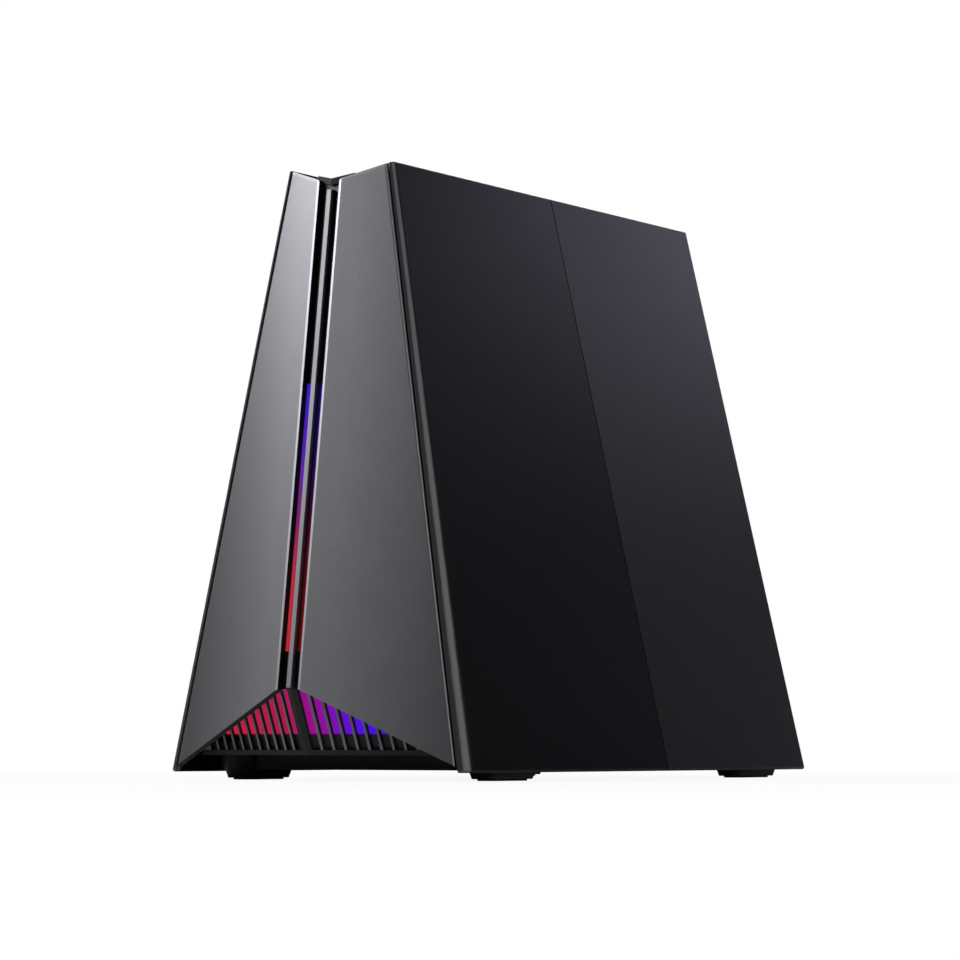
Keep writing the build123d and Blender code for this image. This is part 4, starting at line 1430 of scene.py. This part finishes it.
@dataclass(frozen=True)
class Electronics(SubAssembly):
    """The main board with its carrier, heat sinks, aerials and the small parts on its free strips."""

    NODES: ClassVar[dict[str, Finish]] = {
        "main_board": Finishes.BOARD,
        "board_carrier": Finishes.NYLON,
        "board_screws": Finishes.SCREW,
        "heat_sink_screws": Finishes.SCREW,
        "left_heat_sink": Finishes.SINK,
        "right_heat_sink": Finishes.SINK,
        "left_thermal_pad": Finishes.PAD,
        "right_thermal_pads": Finishes.PAD,
        "processor_chip": Finishes.CHIP,
        "radio_shield_cans": Finishes.STEEL,
        "left_antennas": Finishes.BOARD,
        "right_antennas": Finishes.BOARD,
        "antenna_cables": Finishes.JACKET,
    }
    can_radius: float = 3.2
    can_height: float = 8.0
    can_foot: float = 1.2
    can_groove: float = 0.25
    can_groove_height: float = 0.5
    can_dome: float = 0.6
    can_rim: float = 0.5
    can_dish: float = 0.2
    can_pitch: float = 9.0
    can_count: int = 5
    coil_half_size: float = 3.0
    coil_height: float = 3.5
    coil_round: float = 0.5
    coil_round_steps: int = 3
    coil_rim: float = 0.6
    coil_dish: float = 0.3
    coil_pitch: float = 11.0
    coil_count: int = 4
    chip_half_width: float = 4.0
    chip_half_length: float = 6.5
    chip_height: float = 1.1
    chip_chamfer: float = 0.25
    chip_start: float = 8.0
    chip_pitch: float = 22.0
    chip_count: int = 2
    dimple_y: float = -4.8
    dimple_z: float = 2.5
    dimple_radius: float = 0.6
    dimple_depth: float = 0.1
    dimple_sides: int = 16
    lower_row: float = 28.0
    upper_row: float = 175.0
    row_start: float = -46.0

    def build(self) -> None:
        """Models the cans, coils and memory chips."""
        _, high = box_mm("main_board")
        along = Vector(REARWARD)
        can = self.can(Vector((high.x, self.row_start, self.lower_row)))
        cans = row(can, along * self.can_pitch, self.can_count)
        settle(cans, "capacitor_cans", Finishes.CAN)
        coil_start = self.row_start + self.can_count * self.can_pitch + self.coil_pitch / 2
        coil = self.coil(Vector((high.x, coil_start, self.lower_row)))
        coils = row(coil, along * self.coil_pitch, self.coil_count)
        settle(coils, "power_coils", Finishes.FERRITE)
        chip = self.chip(Vector((high.x, self.row_start + self.chip_start, self.upper_row)))
        chips = row(chip, along * self.chip_pitch, self.chip_count)
        settle(chips, "memory_chips", Finishes.CHIP)

    def can(self, foot: Vector) -> Piece:
        """Models a capacitor can with its rolled groove and domed rim.

        Args:
            foot: The middle of its foot on the board in millimetres.

        Returns:
            The can.
        """
        can = rod(foot, foot + Vector(RIGHT) * self.can_foot, self.can_radius)
        with shaping(can):
            pull(can, RIGHT, self.can_groove, self.can_groove_height)
            pull(can, RIGHT, -self.can_groove, self.can_height - self.can_foot - self.can_groove_height)
            crown(can, RIGHT, self.can_dome)
            pull(can, RIGHT, self.can_rim, -self.can_dish)
        return can

    def coil(self, foot: Vector) -> Piece:
        """Models a moulded coil, rounded and with a shallow dish in its top.

        Args:
            foot: The middle of its foot on the board in millimetres.

        Returns:
            The coil.
        """
        half = Vector((0.0, self.coil_half_size, self.coil_half_size))
        coil = block(foot - half, foot + half + Vector((self.coil_height, 0.0, 0.0)))
        soften(coil, self.coil_round, self.coil_round_steps)
        with shaping(coil):
            pull(coil, RIGHT, self.coil_rim, -self.coil_dish)
        return coil

    def chip(self, foot: Vector) -> Piece:
        """Models a memory chip with a chamfered rim and a corner dimple.

        Args:
            foot: The middle of its foot on the board in millimetres.

        Returns:
            The chip.
        """
        half = Vector((0.0, self.chip_half_length, self.chip_half_width))
        out = Vector(RIGHT)
        chip = block(foot - half, foot + half + out * self.chip_height)
        with shaping(chip):
            crown(chip, RIGHT, self.chip_chamfer, 1)
        dimple = foot + Vector((self.chip_height - self.dimple_depth, self.dimple_y, self.dimple_z))
        cut(chip, rod(dimple, dimple + out, self.dimple_radius, self.dimple_sides))
        return chip


@dataclass(frozen=True)
class Softbox:
    """A square studio light that faces the object, in millimetres and watts."""

    name: str
    place: Triple
    size: float
    watts: float
    aim: Triple = (0.0, 0.0, 100.0)
    colour: str = WHITE

    def build(self) -> None:
        """Hangs the light in the scene."""
        lamp = bpy.data.lights.new(self.name, "AREA")
        lamp.shape = "SQUARE"
        lamp.size = self.size * MM
        lamp.energy = self.watts
        lamp.color = linear(self.colour)[:3]
        holder = bpy.data.objects.new(self.name, lamp)
        holder.location = Vector(self.place) * MM
        towards = Vector(self.aim) - Vector(self.place)
        holder.rotation_euler = towards.to_track_quat("-Z", "Y").to_euler()
        bpy.context.scene.collection.objects.link(holder)


@dataclass(frozen=True)
class Studio:
    """The white floor and backdrop, the soft light and the camera."""

    LIGHTS: ClassVar[tuple[Softbox, ...]] = (
        Softbox("left_front_low", (-300.0, -450.0, 300.0), 200.0, 0.35),
        Softbox("left_front_high", (-250.0, -500.0, 450.0), 200.0, 0.8),
        Softbox("left_close", (-350.0, -300.0, 420.0), 200.0, 1.06),
        Softbox("rear_close", (110.0, 480.0, 290.0), 150.0, 0.115, colour=COOL_WHITE),
        Softbox("rear_edge", (100.0, 330.0, 280.0), 100.0, 0.018, colour=COOL_WHITE),
        Softbox("rear_high", (150.0, 420.0, 420.0), 200.0, 0.09, colour=COOL_WHITE),
        Softbox("rear_low", (320.0, 650.0, 170.0), 160.0, 0.01, (60.0, 60.0, 80.0), colour=COOL_WHITE),
        Softbox("right_fill", (900.0, -250.0, 300.0), 500.0, 3.2),
        Softbox("back_fill", (-300.0, 950.0, 380.0), 500.0, 7.0),
        Softbox("left_side", (-900.0, 120.0, 250.0), 600.0, 0.5),
    )
    camera_place: Triple = (845.90, -1239.69, 13.80)
    camera_rise: float = 3.440
    camera_turn: float = 34.384
    lens: float = 161.46
    sensor: float = 36.0
    clip_near: float = 50.0
    clip_far: float = 50000.0
    floor_size: float = 12000.0
    paper_colour: str = "#d8d8d8"
    ambient: float = 0.006
    floor_shadow: float = 0.1
    shadow_reach: float = 700.0

    def build(self) -> None:
        """Builds the stage, the lights and the camera."""
        self.build_world()
        self.build_floor()
        for softbox in self.LIGHTS:
            softbox.build()
        self.build_camera()
        bpy.context.scene.view_settings.view_transform = "Standard"

    def build_world(self) -> None:
        """Makes a backdrop that is white to the eye and dim as a light."""
        world = bpy.data.worlds.new("white_sweep")
        world.use_nodes = True
        tree = world.node_tree
        tree.nodes.clear()
        seen = add_node(tree, "ShaderNodeLightPath").outputs["Is Camera Ray"]
        dim = add_node(tree, "ShaderNodeBackground", {"Color": linear(WHITE), "Strength": self.ambient})
        white = add_node(tree, "ShaderNodeBackground", {"Color": linear(WHITE), "Strength": 1.0})
        mix = add_node(tree, "ShaderNodeMixShader", {
            0: seen,
            1: dim.outputs["Background"],
            2: white.outputs["Background"],
        })
        add_node(tree, "ShaderNodeOutputWorld", {"Surface": mix.outputs["Shader"]})
        bpy.context.scene.world = world

    def build_floor(self) -> None:
        """Lays a pale floor under the feet."""
        bpy.ops.object.select_all(action="DESELECT")
        bpy.ops.mesh.primitive_plane_add(size=self.floor_size * MM)
        floor = bpy.context.object
        floor.name = "studio_floor"
        material = bpy.data.materials.new("matt_white_paper")
        material.use_nodes = True
        tree = material.node_tree
        tree.nodes.clear()
        seen = add_node(tree, "ShaderNodeLightPath").outputs["Is Camera Ray"]
        place = add_node(tree, "ShaderNodeTexCoord").outputs["Object"]
        near = add_node(tree, "ShaderNodeMapping", {
            "Vector": place,
            "Scale": (1 / (self.shadow_reach * MM),) * 3,
        })
        fade = add_node(tree, "ShaderNodeTexGradient", {"Vector": near.outputs["Vector"]},
                        gradient_type="QUADRATIC_SPHERE")
        clear = add_node(tree, "ShaderNodeMath", {
            0: fade.outputs["Fac"],
            1: -self.floor_shadow,
            2: 1.0,
        }, operation="MULTIPLY_ADD")
        share = add_node(tree, "ShaderNodeMath", {0: seen, 1: clear.outputs["Value"]}, operation="MULTIPLY")
        paper = add_node(tree, "ShaderNodeBsdfDiffuse", {"Color": linear(self.paper_colour)})
        white = add_node(tree, "ShaderNodeEmission", {"Color": linear(WHITE), "Strength": 1.0})
        mix = add_node(tree, "ShaderNodeMixShader", {
            0: share.outputs["Value"],
            1: paper.outputs["BSDF"],
            2: white.outputs["Emission"],
        })
        add_node(tree, "ShaderNodeOutputMaterial", {"Surface": mix.outputs["Shader"]})
        floor.data.materials.append(material)

    def build_camera(self) -> None:
        """Puts the camera low in front, to the right, looking slightly up."""
        lens = bpy.data.cameras.new("product_camera")
        lens.lens = self.lens
        lens.sensor_width = self.sensor
        lens.clip_start = self.clip_near * MM
        lens.clip_end = self.clip_far * MM
        camera = bpy.data.objects.new("product_camera", lens)
        camera.location = Vector(self.camera_place) * MM
        camera.rotation_euler = (math.radians(90 + self.camera_rise), 0.0, math.radians(self.camera_turn))
        bpy.context.scene.collection.objects.link(camera)
        bpy.context.scene.camera = camera


def main() -> None:
    """Builds the router's pieces and the studio, in order."""
    logging.basicConfig(level=logging.INFO, format="%(message)s")
    for group in (Housing(), FrontFace(), LowerGrille(), BasePlate(), PortColumn(), Electronics()):
        group.dress()
        group.build()
    Studio().build()


if __name__ == "__main__":
    main()
